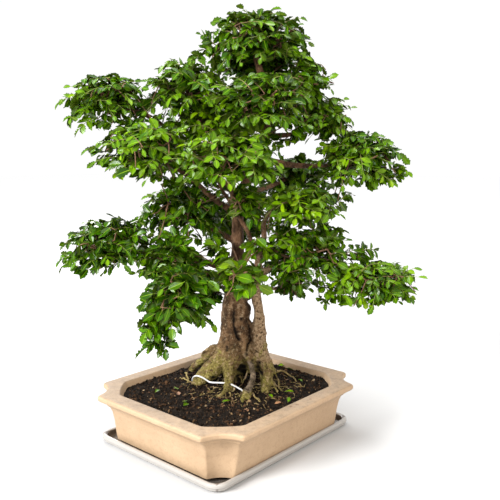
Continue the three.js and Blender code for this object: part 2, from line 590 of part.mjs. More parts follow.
// Puts a point of the outline on the rib's line, raised by lift. A leaf that would cross into a
// neighbour is drawn in towards the rib.
function setOnRib({ x, y, droop }, lift, { at, full, scale }, aside, cell, draw) {
  const onLine = at(x);
  const ahead = at(Math.min(x + 1, full)).sub(at(Math.min(x, full - 1)));
  const up = new THREE.Vector3().crossVectors(ahead, aside).normalize();
  const reach = aside.clone().multiplyScalar(y * scale).addScaledVector(up, lift);
  reach.z -= LEAF_LONG * LEAF_DROOP * droop * scale * 2 * draw();
  let share = 1;
  if (lift === 0) {
    const crosses = () => !inside(cell, onLine.clone().addScaledVector(reach, share));
    while (share > LEAF_TUCK && crosses()) share -= TUCK_STEP;
  }
  return onLine.addScaledVector(reach, share);
}

// The frond's corner points on the pad, and its triangles: the skin over the outline and the same
// skin below it, which meet at the edge and stand apart along the rib
function frond(pad, cell, whorl, turn, sector, fit, draw) {
  const line = ribOf(pad, whorl, turn, fit, draw);
  const axis = inTree([pad.at[0], pad.at[1], 0]);
  const room = (x) => {
    const away = line.at(x).setZ(0).distanceTo(axis);
    const long = (away * Math.sin(sector / 2)) / Math.sin(LEAF_LEAN) / line.scale;
    return Math.max(long, LEAF_SHORTEST);
  };
  const { edge, tip, rib } = frondOutline(whorl.pairs, room, draw);
  const mirrored = [...edge].reverse().map(({ x, y, droop }) => ({ x, y: -y, droop }));
  const outline = [...mirrored, ...edge, tip];
  const aside = inTree([-Math.sin(turn), Math.cos(turn), 0]);
  const set = (points, lift) => points.map((point) => setOnRib(point, lift, line, aside, cell, draw));
  const corners = [...set(outline, 0), ...set(rib, RIB_THICK / 2), ...set(rib, -RIB_THICK / 2)];
  const skin = frondSkin(whorl.pairs, edge.length);
  const below = (k) => (k >= outline.length ? k + rib.length : k);
  const triangles = [...skin, ...skin.map(([a, b, c]) => [below(c), below(b), below(a)])];
  return { corners, triangles };
}

// Adds a whorl of fronds to a pad, each as long as its neighbours leave room for
function addWhorl(body, pad, cell, whorl, count, firstTurn, draw) {
  const sector = (2 * Math.PI) / count;
  let grown = body;
  for (let k = 0; k < count; k += 1) {
    const turn = firstTurn + sector * (k + TURN_SPREAD * (draw() - 0.5));
    for (const fit of FROND_FITS) {
      const { corners, triangles } = frond(pad, cell, whorl, turn, sector, fit, draw);
      if (corners.every((corner) => inside(cell, corner))) {
        grown = grown.add(solid(corners.flatMap((corner) => corner.toArray()), triangles.flat()));
        break;
      }
    }
  }
  return grown;
}

function foliage(pad, seed, cutters) {
  const draw = seeded(seed);
  const cell = cellOf(pad);
  const [upper, lower] = pad.fronds;
  const turn = draw() * 2 * Math.PI;
  let body = leafTiers(pad, cell, draw);
  body = addWhorl(body, pad, cell, UPPER_WHORL, upper, turn, draw);
  body = addWhorl(body, pad, cell, LOWER_WHORL, lower, turn + Math.PI / upper, draw);
  return largest(cutters.reduce((rest, cutter) => rest.subtract(cutter), body));
}

// The object

const bonsai = new THREE.Group();

function place(name, manifold, look) {
  const mesh = new THREE.Mesh(geometryOf(manifold), new THREE.MeshStandardMaterial(look));
  mesh.name = name;
  bonsai.add(mesh);
}

const woodRoom = wood(SEAT_GAP);
const wireRoom = wire(SEAT_GAP);
place("saucer", saucer(), SAUCER_PLASTIC);
place("pot", pot(), POT_CLAY);
place("soil", soil([woodRoom, wireRoom]), SOIL_EARTH);
place("tree_wood", largest(wood(0).subtract(wireRoom)), BARK);
place("tie_wire", wire(0), WIRE_WHITE);
PADS.forEach((pad, k) => place(`leaves_${pad.name}`, foliage(pad, 500 + k, [woodRoom]), LEAF_GREEN));

export default bonsai;
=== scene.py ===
import math

import bpy
import numpy as np
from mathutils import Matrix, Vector, noise


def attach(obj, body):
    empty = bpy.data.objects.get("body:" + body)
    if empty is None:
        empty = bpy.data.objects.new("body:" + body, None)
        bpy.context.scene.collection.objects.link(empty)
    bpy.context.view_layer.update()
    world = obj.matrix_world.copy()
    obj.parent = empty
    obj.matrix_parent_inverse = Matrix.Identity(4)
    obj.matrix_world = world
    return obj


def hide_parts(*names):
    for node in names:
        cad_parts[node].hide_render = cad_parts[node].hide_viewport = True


# Looks of the potted privet bonsai. Sizes are in millimetres, as in the part's source, and become
# metres in new_mesh. The tree has directions of its own, r to its right and t to its back.

MM = 0.001
SEED = 20
TREE_TURN = math.radians(43.5)

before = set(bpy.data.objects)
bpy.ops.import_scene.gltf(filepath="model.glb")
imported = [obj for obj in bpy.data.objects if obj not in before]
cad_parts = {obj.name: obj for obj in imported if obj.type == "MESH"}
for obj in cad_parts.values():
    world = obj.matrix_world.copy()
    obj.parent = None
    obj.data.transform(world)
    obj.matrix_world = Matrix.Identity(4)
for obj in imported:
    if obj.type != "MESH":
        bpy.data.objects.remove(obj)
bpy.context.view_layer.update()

# Camera: at the photograph's angle, whole tree in view

CAMERA_AT = Vector((0.7354, -0.7761, 0.4720))
CAMERA_WAY = Vector((-0.6549, 0.7413, -0.1468))
LENS = 47.48

camera = bpy.data.objects.new("camera", bpy.data.cameras.new("camera"))
camera.data.lens = LENS
camera.data.sensor_width = 36
camera.data.clip_end = 50
camera.location = CAMERA_AT
camera.rotation_euler = CAMERA_WAY.to_track_quat("-Z", "Y").to_euler()
bpy.context.collection.objects.link(camera)
bpy.context.scene.camera = camera


# Helpers

def in_tree(points):
    """Points [r, t, z] of the tree in the part's directions."""
    p = np.atleast_2d(np.asarray(points, float))
    c, s = math.cos(TREE_TURN), math.sin(TREE_TURN)
    return np.stack([p[:, 0] * c - p[:, 1] * s, p[:, 0] * s + p[:, 1] * c, p[:, 2]], axis=1)


def unit(v):
    return v / np.maximum(np.linalg.norm(v, axis=-1, keepdims=True), 1e-9)


def new_mesh(name, points, faces, material, smooth=True):
    """A piece that rides on the part, from points in millimetres."""
    mesh = bpy.data.meshes.new(name)
    mesh.from_pydata((np.asarray(points) * MM).tolist(), [], faces)
    mesh.update()
    mesh.polygons.foreach_set("use_smooth", [smooth] * len(mesh.polygons))
    piece = bpy.data.objects.new(name, mesh)
    bpy.context.collection.objects.link(piece)
    mesh.materials.append(material)
    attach(piece, "root")
    return piece


def applied(piece):
    """Bakes a piece's modifiers into its mesh."""
    graph = bpy.context.evaluated_depsgraph_get()
    mesh = bpy.data.meshes.new_from_object(piece.evaluated_get(graph))
    piece.modifiers.clear()
    old, piece.data = piece.data, mesh
    bpy.data.meshes.remove(old)
    return piece


def face_values(mesh, name, values):
    layer = mesh.attributes.new(name, "FLOAT", "FACE")
    layer.data.foreach_set("value", np.asarray(values, np.float32))


def point_values(mesh, name, values):
    layer = mesh.attributes.new(name, "FLOAT", "POINT")
    layer.data.foreach_set("value", np.asarray(values, np.float32))


def catmull(points, count):
    """Count points on a smooth line through the given ones, evenly spaced by their order."""
    p = np.asarray(points, float)
    q = np.vstack([2 * p[0] - p[1], p, 2 * p[-1] - p[-2]])
    u = np.linspace(0, len(p) - 1 - 1e-9, count)
    i = u.astype(int)
    f = (u - i)[:, None]
    a, b, c, d = q[i], q[i + 1], q[i + 2], q[i + 3]
    squared, cubed = (2 * a - 5 * b + 4 * c - d) * f ** 2, (3 * b - a - 3 * c + d) * f ** 3
    return 0.5 * (2 * b + (c - a) * f + squared + cubed)


START_DOME, END_DOME = 0.3, 0.5 # how far a tube's ends stand out, as shares of its radius there


def tube(line, radii, sides, shape=None):
    """A closed tube along a line. shape(step, angles) multiplies its radius."""
    line = np.asarray(line, float)
    count = len(line)
    along = unit(np.gradient(line, axis=0))
    side = np.cross(along[0], [0.3, 0.2, 1.0])
    if np.linalg.norm(side) < 0.2:
        side = np.cross(along[0], [1.0, 0.2, 0.1])
    rings = []
    angles = np.arange(sides) * 2 * math.pi / sides
    for k in range(count):
        side = side - along[k] * (side @ along[k])
        side = side / np.linalg.norm(side)
        other = np.cross(along[k], side)
        reach = np.full(sides, float(radii[k]))
        if shape is not None:
            reach = reach * shape(k, angles)
        aside = np.outer(np.cos(angles) * reach, side)
        rings.append(line[k] + aside + np.outer(np.sin(angles) * reach, other))
    start, end = line[:1] - along[:1] * radii[0] * START_DOME, line[-1:] + along[-1:] * radii[-1] * END_DOME
    points = np.vstack(rings + [start, end])
    first, last = count * sides, count * sides + 1
    faces = []
    for j in range(sides):
        n = (j + 1) % sides
        faces.append((first, n, j))
        faces.append((last, (count - 1) * sides + j, (count - 1) * sides + n))
        for k in range(count - 1):
            low = k * sides
            faces.append((low + j, low + n, low + sides + n, low + sides + j))
    return points, faces


def joined(parts):
    """Several (points, faces) as one."""
    points, faces, start = [], [], 0
    for p, f in parts:
        points.append(p)
        faces.extend(tuple(i + start for i in face) for face in f)
        start += len(p)
    return np.vstack(points), faces


def loft(rings):
    """A closed solid through rings of points, with flat caps."""
    count = len(rings[0])
    points = np.vstack(rings)
    faces = [tuple(reversed(range(count)))]
    for row in range(len(rings) - 1):
        low = row * count
        for k in range(count):
            n = (k + 1) % count
            faces.append((low + k, low + n, low + count + n, low + count + k))
    top = (len(rings) - 1) * count
    faces.append(tuple(range(top, top + count)))
    return points, faces


def fbm(points, size, depth=3):
    """Fractal noise from -1 to 1 at points in millimetres, with lumps of the given size."""
    return np.array([noise.fractal(Vector(p) / size, 0.9, 2.1, depth) for p in points])


# Materials

class Look:
    """Builds one node material round a Principled shader."""

    def __init__(self, name, roughness=0.5):
        self.material = bpy.data.materials.new(name)
        self.material.use_nodes = True
        self.nodes = self.material.node_tree.nodes
        self.links = self.material.node_tree.links
        self.shader = self.nodes["Principled BSDF"]
        self.shader.inputs["Roughness"].default_value = roughness
        self.place = self.nodes.new("ShaderNodeTexCoord").outputs["Object"]

    def link(self, a, b):
        self.links.new(a, b)

    def put(self, socket, value):
        if isinstance(value, bpy.types.NodeSocket):
            self.link(value, socket)
        else:
            socket.default_value = value

    def noise(self, scale, detail=4, rough=0.55, stretch=None):
        node = self.nodes.new("ShaderNodeTexNoise")
        node.inputs["Scale"].default_value = scale
        node.inputs["Detail"].default_value = detail
        node.inputs["Roughness"].default_value = rough
        source = self.place
        if stretch:
            mapping = self.nodes.new("ShaderNodeMapping")
            mapping.inputs["Scale"].default_value = stretch
            self.link(source, mapping.inputs["Vector"])
            source = mapping.outputs["Vector"]
        self.link(source, node.inputs["Vector"])
        return node.outputs["Fac"]

    def cells(self, scale):
        node = self.nodes.new("ShaderNodeTexVoronoi")
        node.inputs["Scale"].default_value = scale
        self.link(self.place, node.inputs["Vector"])
        return node.outputs["Distance"]

    def ramp(self, value, *stops):
        node = self.nodes.new("ShaderNodeValToRGB")
        elements = node.color_ramp.elements
        while len(elements) < len(stops):
            elements.new(0.5)
        for element, (at, colour) in zip(elements, stops):
            element.position = at
            element.color = colour if len(colour) == 4 else (*colour, 1)
        self.link(value, node.inputs["Fac"])
        return node.outputs["Color"]

    def fade(self, value, low, high, to_low=0.0, to_high=1.0):
        node = self.nodes.new("ShaderNodeMapRange")
        node.interpolation_type = "SMOOTHSTEP"
        for key, number in zip(("From Min", "From Max", "To Min", "To Max"), (low, high, to_low, to_high)):
            node.inputs[key].default_value = number
        self.link(value, node.inputs["Value"])
        return node.outputs["Result"]

    def mix(self, share, a, b, how="MIX"):
        node = self.nodes.new("ShaderNodeMix")
        node.data_type = "RGBA"
        node.blend_type = how
        colours = [s for s in node.inputs if s.type == "RGBA"]
        self.put(node.inputs[0], share)
        for socket, value in zip(colours, (a, b)):
            if isinstance(value, tuple):
                value = (*value, 1) if len(value) == 3 else value
            self.put(socket, value)
        return next(s for s in node.outputs if s.type == "RGBA")

    def math(self, how, a, b=0.5):
        node = self.nodes.new("ShaderNodeMath")
        node.operation = how
        self.put(node.inputs[0], a)
        self.put(node.inputs[1], b)
        return node.outputs[0]

    def times(self, a, b):
        return self.math("MULTIPLY", a, b)

    def plus(self, a, b):
        return self.math("ADD", a, b)

    def value(self, name):
        node = self.nodes.new("ShaderNodeAttribute")
        node.attribute_name = name
        return node.outputs["Fac"]

    def axis(self, source, which):
        node = self.nodes.new("ShaderNodeSeparateXYZ")
        self.link(source, node.inputs[0])
        return node.outputs[which]

    def near(self, point):
        """Distance in metres from a point in millimetres."""
        node = self.nodes.new("ShaderNodeVectorMath")
        node.operation = "DISTANCE"
        self.link(self.place, node.inputs[0])
        node.inputs[1].default_value = [c * MM for c in point]
        return node.outputs["Value"]

    def bump(self, height, strength, distance):
        node = self.nodes.new("ShaderNodeBump")
        node.inputs["Strength"].default_value = strength
        node.inputs["Distance"].default_value = distance
        self.link(height, node.inputs["Height"])
        self.link(node.outputs["Normal"], self.shader.inputs["Normal"])

    def colour(self, value):
        self.put(self.shader.inputs["Base Color"], value)

    def roughness(self, value):
        self.put(self.shader.inputs["Roughness"], value)

    def specular(self, level):
        self.shader.inputs["Specular IOR Level"].default_value = level


# Brown marks on the pot's rim: place in the part's directions and reach in metres
STAINS = [
    ([142.2, -9.3, 86], 0.0042), ([145.3, 3.3, 86], 0.0028), ([147.0, 34, 86], 0.0026),
    ([140.5, -60, 86], 0.0022),
]


def clay_look():
    look = Look("stoneware", 0.55)
    cloud = look.noise(18, 4)
    grain = look.noise(900, 3, 0.7)
    mottle = look.noise(170, 5, 0.7)
    speck = look.cells(190)
    tone = look.ramp(cloud, (0.3, (0.360, 0.243, 0.145)), (0.7, (0.420, 0.291, 0.180)))
    tone = look.mix(look.fade(grain, 0.35, 0.75, 0.0, 0.35), tone, (0.480, 0.352, 0.235))
    tone = look.mix(look.fade(mottle, 0.50, 0.36, 0.0, 0.30), tone, (0.270, 0.176, 0.102))
    tone = look.mix(look.fade(speck, 0.06, 0.11, 0.7, 0.0), tone, (0.230, 0.140, 0.075))
    height = look.axis(look.place, 2)
    # The rim's top has a worn, mottled colour that is also darkened as painted shade on the top
    worn_and_shaded_rim = look.times(look.fade(height, 0.0838, 0.0858), look.fade(look.noise(60, 5), 0.3, 0.65, 0.5, 0.95))
    bare = look.mix(look.fade(mottle, 0.38, 0.62), (0.235, 0.168, 0.108), (0.300, 0.219, 0.145))
    tone = look.mix(worn_and_shaded_rim, tone, bare)
    low = look.times(look.fade(height, 0.030, 0.006), look.fade(look.noise(40, 4), 0.4, 0.7, 0.0, 0.5))
    tone = look.mix(low, tone, (0.265, 0.180, 0.100))
    for spot, reach in STAINS:
        ragged = look.plus(look.near(spot), look.times(look.math("SUBTRACT", mottle, 0.5), 0.012))
        tone = look.mix(look.fade(ragged, reach, reach * 0.4, 0.0, 0.85), tone, (0.150, 0.075, 0.034))
    look.colour(tone)
    look.roughness(look.fade(grain, 0.3, 0.8, 0.46, 0.7))
    look.specular(0.3)
    look.bump(look.plus(look.plus(grain, mottle), look.times(cloud, 0.6)), 0.45, 0.0008)
    return look.material


def plastic_look():
    look = Look("white_plastic", 0.2)
    smear = look.noise(30, 4)
    dust = look.noise(350, 4, 0.7)
    tone = look.mix(look.fade(smear, 0.4, 0.75, 0.0, 0.25), (0.345, 0.327, 0.305), (0.285, 0.266, 0.246))
    tone = look.mix(look.fade(dust, 0.66, 0.78, 0.0, 0.3), tone, (0.50, 0.43, 0.35))
    # The saucer's inside is stained and also darkened as painted shade under the pot
    stain_and_painted_shade = look.times(look.value("inside"), look.fade(smear, 0.25, 0.6, 0.45, 0.9))
    tone = look.mix(stain_and_painted_shade, tone, (0.085, 0.062, 0.046))
    look.colour(tone)
    look.roughness(look.fade(smear, 0.3, 0.8, 0.14, 0.32))
    look.shader.inputs["Coat Weight"].default_value = 0.1
    look.bump(look.noise(700, 2), 0.05, 0.0003)
    return look.material


def earth_look():
    look = Look("soil", 0.95)
    crumb = look.noise(260, 6, 0.7)
    patch = look.noise(25, 3)
    tone = look.ramp(
        crumb, (0.34, (0.003, 0.002, 0.0012)), (0.54, (0.010, 0.0065, 0.004)), (0.75, (0.048, 0.028, 0.013)))
    tone = look.mix(look.fade(patch, 0.45, 0.7, 0.0, 0.4), tone, (0.020, 0.011, 0.006))
    look.colour(tone)
    look.bump(look.noise(420, 8, 0.75), 0.9, 0.002)
    look.specular(0.12)
    return look.material


def crumb_look():
    look = Look("soil_crumbs", 0.9)
    kind = look.value("kind")
    tone = look.ramp(
        kind, (0.0, (0.003, 0.002, 0.0015)), (0.5, (0.010, 0.0065, 0.004)), (0.75, (0.034, 0.018, 0.009)),
        (0.94, (0.10, 0.048, 0.021)), (0.985, (0.22, 0.135, 0.065)), (1.0, (0.36, 0.26, 0.15)))
    tone = look.mix(look.fade(look.noise(900, 3), 0.4, 0.7, 0.0, 0.5), tone, (0.010, 0.007, 0.005))
    look.colour(tone)
    look.bump(look.noise(1400, 4), 0.6, 0.0006)
    look.specular(0.15)
    return look.material


def bark_look():
    look = Look("bark", 0.8)
    height = look.axis(look.place, 2)
    painted_hollow_shade, pale_stem, bare = look.value("painted_hollow_shade"), look.value("stem"), look.value("bare")
    fibre = look.noise(85, 8, 0.68, stretch=(1, 1, 0.5))
    patch = look.noise(30, 5, 0.6)
    grit = look.noise(300, 6, 0.7)
    fleck = look.noise(150, 6, 0.72)
    tone = look.ramp(
        fibre, (0.36, (0.0300, 0.0155, 0.0074)), (0.50, (0.1250, 0.0670, 0.030)),
        (0.64, (0.275, 0.160, 0.080)))
    tone = look.mix(look.fade(patch, 0.50, 0.72, 0.0, 0.45), tone, (0.1535, 0.0986, 0.0539))
    buff = look.ramp(
        grit, (0.36, (0.125, 0.070, 0.034)), (0.5, (0.370, 0.245, 0.138)), (0.64, (0.620, 0.455, 0.285)))
    buff = look.mix(look.fade(patch, 0.52, 0.7, 0.0, 0.6), buff, (0.1674, 0.0977, 0.0502))
    tone = look.mix(pale_stem, tone, buff)
    red = look.times(look.fade(height, 0.21, 0.34, 0.0, 0.8), look.fade(patch, 0.3, 0.65, 0.5, 1.0))
    rusty = look.ramp(fibre, (0.36, (0.0418, 0.0186, 0.0093)), (0.64, (0.2511, 0.1256, 0.067)))
    tone = look.mix(red, tone, rusty)
    cover = look.plus(look.noise(42, 7, 0.7), look.fade(height, 0.165, 0.100, -0.16, 0.10))
    mossy = look.times(look.fade(cover, 0.44, 0.56), look.fade(height, 0.172, 0.150))
    moss = look.ramp(
        grit, (0.34, (0.050, 0.044, 0.007)), (0.50, (0.215, 0.192, 0.032)), (0.66, (0.50, 0.45, 0.12)))
    moss = look.mix(look.fade(patch, 0.48, 0.64, 0.0, 0.5), moss, (0.135, 0.115, 0.030))
    tone = look.mix(look.times(mossy, 0.88), tone, moss)
    grey = look.ramp(
        fibre, (0.40, (0.050, 0.034, 0.026)), (0.52, (0.190, 0.138, 0.105)), (0.62, (0.300, 0.225, 0.175)))
    tone = look.mix(look.times(bare, 0.88), tone, grey)
    # painted highlight on the raised flecks of the bark
    painted_fleck_highlight = look.times(look.fade(fleck, 0.53, 0.63), look.fade(height, 0.34, 0.20, 0.15, 0.78))
    tone = look.mix(painted_fleck_highlight, tone, (0.4278, 0.3208, 0.1953))
    warm = look.times(look.fade(height, 0.168, 0.135), look.fade(patch, 0.36, 0.56, 0.2, 0.75))
    warmed = look.mix(0.35, tone, (0.32, 0.225, 0.085))
    tone = look.mix(look.times(warm, look.math("SUBTRACT", 1.0, bare)), tone, warmed)
    # painted shade in the bark's cracks, the low parts of its relief
    painted_crack_shade = look.times(look.fade(fleck, 0.45, 0.38), look.fade(height, 0.36, 0.22, 0.3, 0.75))
    tone = look.mix(painted_crack_shade, tone, (0.0335, 0.0186, 0.0093))
    warts = look.times(look.fade(look.cells(150), 0.22, 0.10), look.fade(height, 0.30, 0.22))
    tone = look.mix(look.times(warts, 0.5), tone, (0.0512, 0.026, 0.013))
    # painted shade in the trunk's pits and grooves
    tone = look.mix(painted_hollow_shade, tone, (0.0074, 0.0047, 0.0028))
    look.colour(tone)
    look.roughness(look.fade(patch, 0.3, 0.7, 0.68, 0.95))
    look.specular(0.2)
    rise = look.plus(look.plus(fibre, fleck), look.times(grit, 0.5))
    look.bump(look.plus(rise, look.times(warts, 0.35)), 1.0, 0.006)
    return look.material


def twig_look():
    look = Look("twig_bark", 0.7)
    young = look.value("young")
    grain = look.noise(500, 4)
    old = look.ramp(grain, (0.3, (0.0598, 0.0276, 0.0138)), (0.7, (0.23, 0.1288, 0.069)))
    fresh = look.ramp(grain, (0.3, (0.1104, 0.1472, 0.0322)), (0.7, (0.2208, 0.2576, 0.069)))
    look.colour(look.mix(look.fade(young, 0.35, 1.0), old, fresh))
    look.specular(0.25)
    look.bump(grain, 0.4, 0.0005)
    return look.material


def leaf_look():
    look = Look("leaf", 0.3)
    place = look.nodes.new("ShaderNodeUVMap")
    place.uv_map = "leaf"
    across = look.math("ABSOLUTE", look.math("SUBTRACT", look.axis(place.outputs["UV"], 0), 0.5))
    along = look.axis(place.outputs["UV"], 1)
    tone_value, young, under = look.value("tone"), look.value("young"), look.value("under")
    blotch = look.noise(160, 3)
    grown = look.ramp(
        tone_value, (0.0, (0.0028, 0.0185, 0.0005)), (0.4, (0.0095, 0.047, 0.0005)),
        (0.75, (0.0235, 0.089, 0.0005)), (1.0, (0.048, 0.135, 0.0005)))
    fresh = look.ramp(
        tone_value, (0.0, (0.0688, 0.1634, 0.0009)), (0.6, (0.1118, 0.2279, 0.0009)),
        (1.0, (0.1978, 0.3182, 0.0026)))
    tone = look.mix(young, grown, fresh)
    tone = look.mix(look.fade(blotch, 0.4, 0.75, 0.0, 0.35), tone, (0.0190, 0.0600, 0.0009))
    vein = look.nodes.new("ShaderNodeTexWave")
    vein.inputs["Scale"].default_value = 3.2
    vein.inputs["Distortion"].default_value = 0.6
    slanted = look.nodes.new("ShaderNodeCombineXYZ")
    look.link(look.math("SUBTRACT", along, look.times(across, 0.7)), slanted.inputs[0])
    look.link(slanted.outputs[0], vein.inputs["Vector"])
    ribs = look.times(look.fade(vein.outputs["Fac"], 0.80, 0.97), 0.22)
    tone = look.mix(ribs, tone, (0.145, 0.285, 0.003))
    midrib = look.times(look.fade(across, 0.045, 0.012), look.fade(along, 1.0, 0.3, 0.25, 0.75))
    tone = look.mix(midrib, tone, (0.215, 0.355, 0.008))
    below = look.mix(look.fade(blotch, 0.3, 0.7), (0.021, 0.045, 0.0006), (0.050, 0.088, 0.0015))
    below = look.mix(look.times(young, 0.6), below, (0.115, 0.200, 0.0060))
    below = look.mix(midrib, below, (0.175, 0.230, 0.012))
    look.colour(look.mix(under, tone, below))
    look.roughness(look.plus(look.fade(blotch, 0.2, 0.8, 0.15, 0.28), look.times(under, 0.4)))
    look.specular(0.17)
    look.bump(look.plus(ribs, look.times(blotch, 0.3)), 0.25, 0.0004)
    return look.material


def wire_look():
    look = Look("wire_coating", 0.35)
    dirt = look.noise(240, 4)
    look.colour(look.mix(look.fade(dirt, 0.5, 0.75, 0.0, 0.55), (0.62, 0.62, 0.61), (0.33, 0.305, 0.26)))
    look.bump(dirt, 0.1, 0.0003)
    return look.material


# Pot and saucer: rows of height, half width, half length and corner, from the underside over the rim.
# Beside the part's source the edges are rounder, the pot's wall starts 2 mm lower, and the saucer has
# an undercut lower edge and a line under its rim. A pot's row also has the depth of its scoop.

SAUCER = [
    (0, 132.6, 163, 17), (2.2, 135.4, 165.8, 19.5), (3.6, 136.8, 167.2, 20.8), (6.6, 137, 167.4, 21),
    (7.5, 138.6, 169, 22), (12, 138, 168.4, 21.6), (13.6, 135.2, 165.6, 20), (13.2, 133, 163.4, 18.5),
    (11.8, 131.2, 161.2, 18), (4.2, 130.6, 160.6, 17.5), (3, 129.4, 159.4, 17),
]
POT = [
    (9, 131, 154.6, 28, 4.5), (20, 134.2, 156.2, 30, 5.2), (42, 137.8, 158.4, 32.5, 6.3),
    (57, 141.2, 161.4, 34.5, 7), (65, 144.8, 164.8, 36, 8), (66.2, 147.2, 167, 37, 8.6),
    (71.5, 150.6, 170.4, 38.5, 9.6), (75, 158, 177.6, 41.5, 10.8), (78, 161.5, 181, 43, 11.3),
    (83.5, 161.5, 181, 43, 11.3), (86, 159, 178.5, 42.6, 11.2), (86, 136.5, 154.5, 44, -3),
    (84.5, 135, 153, 43, -3), (66, 127, 147, 40, -2), (20, 121, 143, 38, -1.5),
]
FEET = [(x, y) for x in (-88, 88) for y in (-108, 108)]
FOOT_HALF = 20
FOOT_LOW, FOOT_HIGH = 3, 13
FOOT_CORNER = 4
TIP_ROUND = 5
TIP_SHARES = (0.2, 0.4, 0.6, 0.8)
POT_ROUND, SAUCER_ROUND = 1.6, 1.5
MOST_ROUND = 0.42 # of the way to the next corner
INSIDE_MARGIN = 0.3 # round the saucer's inner wall, for its inside, which is stained and darkened with painted shade


def bend(start, corner, end, shares):
    """Points between start and end on a curve that is drawn towards a corner."""
    return [(1 - f) ** 2 * start + 2 * f * (1 - f) * corner + f ** 2 * end for f in shares]


def rounded(rows, size):
    """A profile with each corner replaced by a short curve."""
    rows = np.asarray(rows, float)
    out = [rows[0]]
    for before, here, after in zip(rows, rows[1:], rows[2:]):
        away = [other - here for other in (before, after)]
        a, b = (here + way * min(MOST_ROUND, size / max(np.linalg.norm(way[:3]), 1e-6)) for way in away)
        out += bend(a, here, b, (0, 0.25, 0.5, 0.75, 1))
    return out + [rows[-1]]


def round_corner(row, spans=12):
    corner = row[3]
    angles = np.linspace(0, math.pi / 2, spans + 1)
    return np.stack([corner * (np.cos(angles) - 1), corner * (np.sin(angles) - 1)], axis=1)


def scooped_corner(row):
    cut, scoop = row[3], row[4]
    share = np.linspace(0.06, 0.94, 13)
    depth = scoop * 4 * share * (1 - share) / math.sqrt(2)
    middle = np.stack([-cut * share - depth, -cut * (1 - share) - depth], axis=1)
    start, end = np.array([0, -cut - TIP_ROUND]), np.array([-cut - TIP_ROUND, 0])
    first = bend(start, np.array([0, -cut]), middle[0], TIP_SHARES)
    last = bend(middle[-1], np.array([-cut, 0]), end, TIP_SHARES)
    return np.vstack([start, *first, *middle, *last, end])


def oblong(row, corner_points, side_spans=10):
    corner = corner_points(row)
    mirrored = corner[::-1]
    rings = []
    for sx, sy, points in ((1, 1, corner), (-1, 1, mirrored), (-1, -1, corner), (1, -1, mirrored)):
        rings.append(np.stack([sx * (row[1] + points[:, 0]), sy * (row[2] + points[:, 1])], axis=1))
    flat = []
    for k, points in enumerate(rings):
        flat.append(points)
        a, b = points[-1], rings[(k + 1) % 4][0]
        steps = np.arange(1, side_spans) / side_spans
        flat.append(a + (b - a) * steps[:, None])
    flat = np.vstack(flat)
    return np.column_stack([flat, np.full(len(flat), row[0])])


def foot(x, y):
    """A foot with its standing edges rounded."""
    rings = []
    for z, inset in ((FOOT_LOW, 1.2), (FOOT_LOW + 0.5, 0.4), (FOOT_LOW + 1.4, 0), (FOOT_HIGH, 0)):
        half = FOOT_HALF - inset
        corner = FOOT_CORNER - inset
        angles = np.linspace(0, math.pi / 2, 5)
        quarter = half - corner + corner * np.stack([np.cos(angles), np.sin(angles)], axis=1)
        turns = [(1, 1, quarter), (-1, 1, quarter[::-1]), (-1, -1, quarter), (1, -1, quarter[::-1])]
        ring = np.vstack([np.stack([sx * q[:, 0] + x, sy * q[:, 1] + y], axis=1) for sx, sy, q in turns])
        rings.append(np.column_stack([ring, np.full(len(ring), z)]))
    return loft(rings)


def make_pot():
    body = loft([oblong(row, scooped_corner) for row in rounded(POT, POT_ROUND)])
    points, faces = joined([body] + [foot(x, y) for x, y in FEET])
    piece = new_mesh("pot_body", points, faces, clay_look())
    piece.data.set_sharp_from_angle(angle=math.radians(50))
    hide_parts("pot")


def make_saucer():
    points, faces = loft([oblong(row, round_corner) for row in rounded(SAUCER, SAUCER_ROUND)])
    piece = new_mesh("saucer_tray", points, faces, plastic_look())
    piece.data.set_sharp_from_angle(angle=math.radians(60))
    wall = SAUCER[-3]
    within = np.abs(points[:, :2]) < np.array(wall[1:3]) + INSIDE_MARGIN
    inside = within.all(axis=1) & (points[:, 2] > 1)
    point_values(piece.data, "inside", inside.astype(float))
    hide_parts("saucer")


# Soil

SOIL_EDGE, SOIL_MOUND = 77, 7
SOIL_SIDE = [
    (20.3, 120.7, 142.7, 38, -1.5), (66, 126.7, 146.7, 40, -2), (SOIL_EDGE, 131.5, 150.2, 41.8, -2.6),
]
SOIL_HALF = (132, 150)
SOIL_RINGS = 64


def soil_height(points):
    """The soil's surface over points in the part's directions."""
    share = np.clip(np.hypot(points[:, 0] / SOIL_HALF[0], points[:, 1] / SOIL_HALF[1]), 0, 1)
    flat = np.column_stack([points[:, :2], np.zeros(len(points))])
    lumps = 1.5 * fbm(flat, 22, 2) + 1.7 * fbm(flat + 40, 7, 2)
    return SOIL_EDGE + SOIL_MOUND * (1 - share ** 2) + lumps


def make_soil():
    sides = [oblong(row, scooped_corner, 24) for row in SOIL_SIDE]
    edge = sides[-1]
    rings = sides[:-1]
    for k in range(SOIL_RINGS):
        share = 1 - k / SOIL_RINGS
        ring = edge * [share, share, 1]
        ring[:, 2] = soil_height(ring)
        rings.append(ring)
    piece = new_mesh("soil_bed", *loft(rings), earth_look())
    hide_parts("soil")


CRUMB_HALF = (131, 149)
CRUMB_CORNERS = (1.66, 238) # where crumbs stop at the pot's cut corners, as shares and in mm
CHIP = np.array([[1, 0, 0], [-1, 0, 0], [0, 1, 0], [0, -1, 0], [0, 0, 1], [0, 0, -1]], float)
CHIP_FACES = [(0, 2, 4), (2, 1, 4), (1, 3, 4), (3, 0, 4), (2, 0, 5), (1, 2, 5), (3, 1, 5), (0, 3, 5)]


CRUMBS = 7500


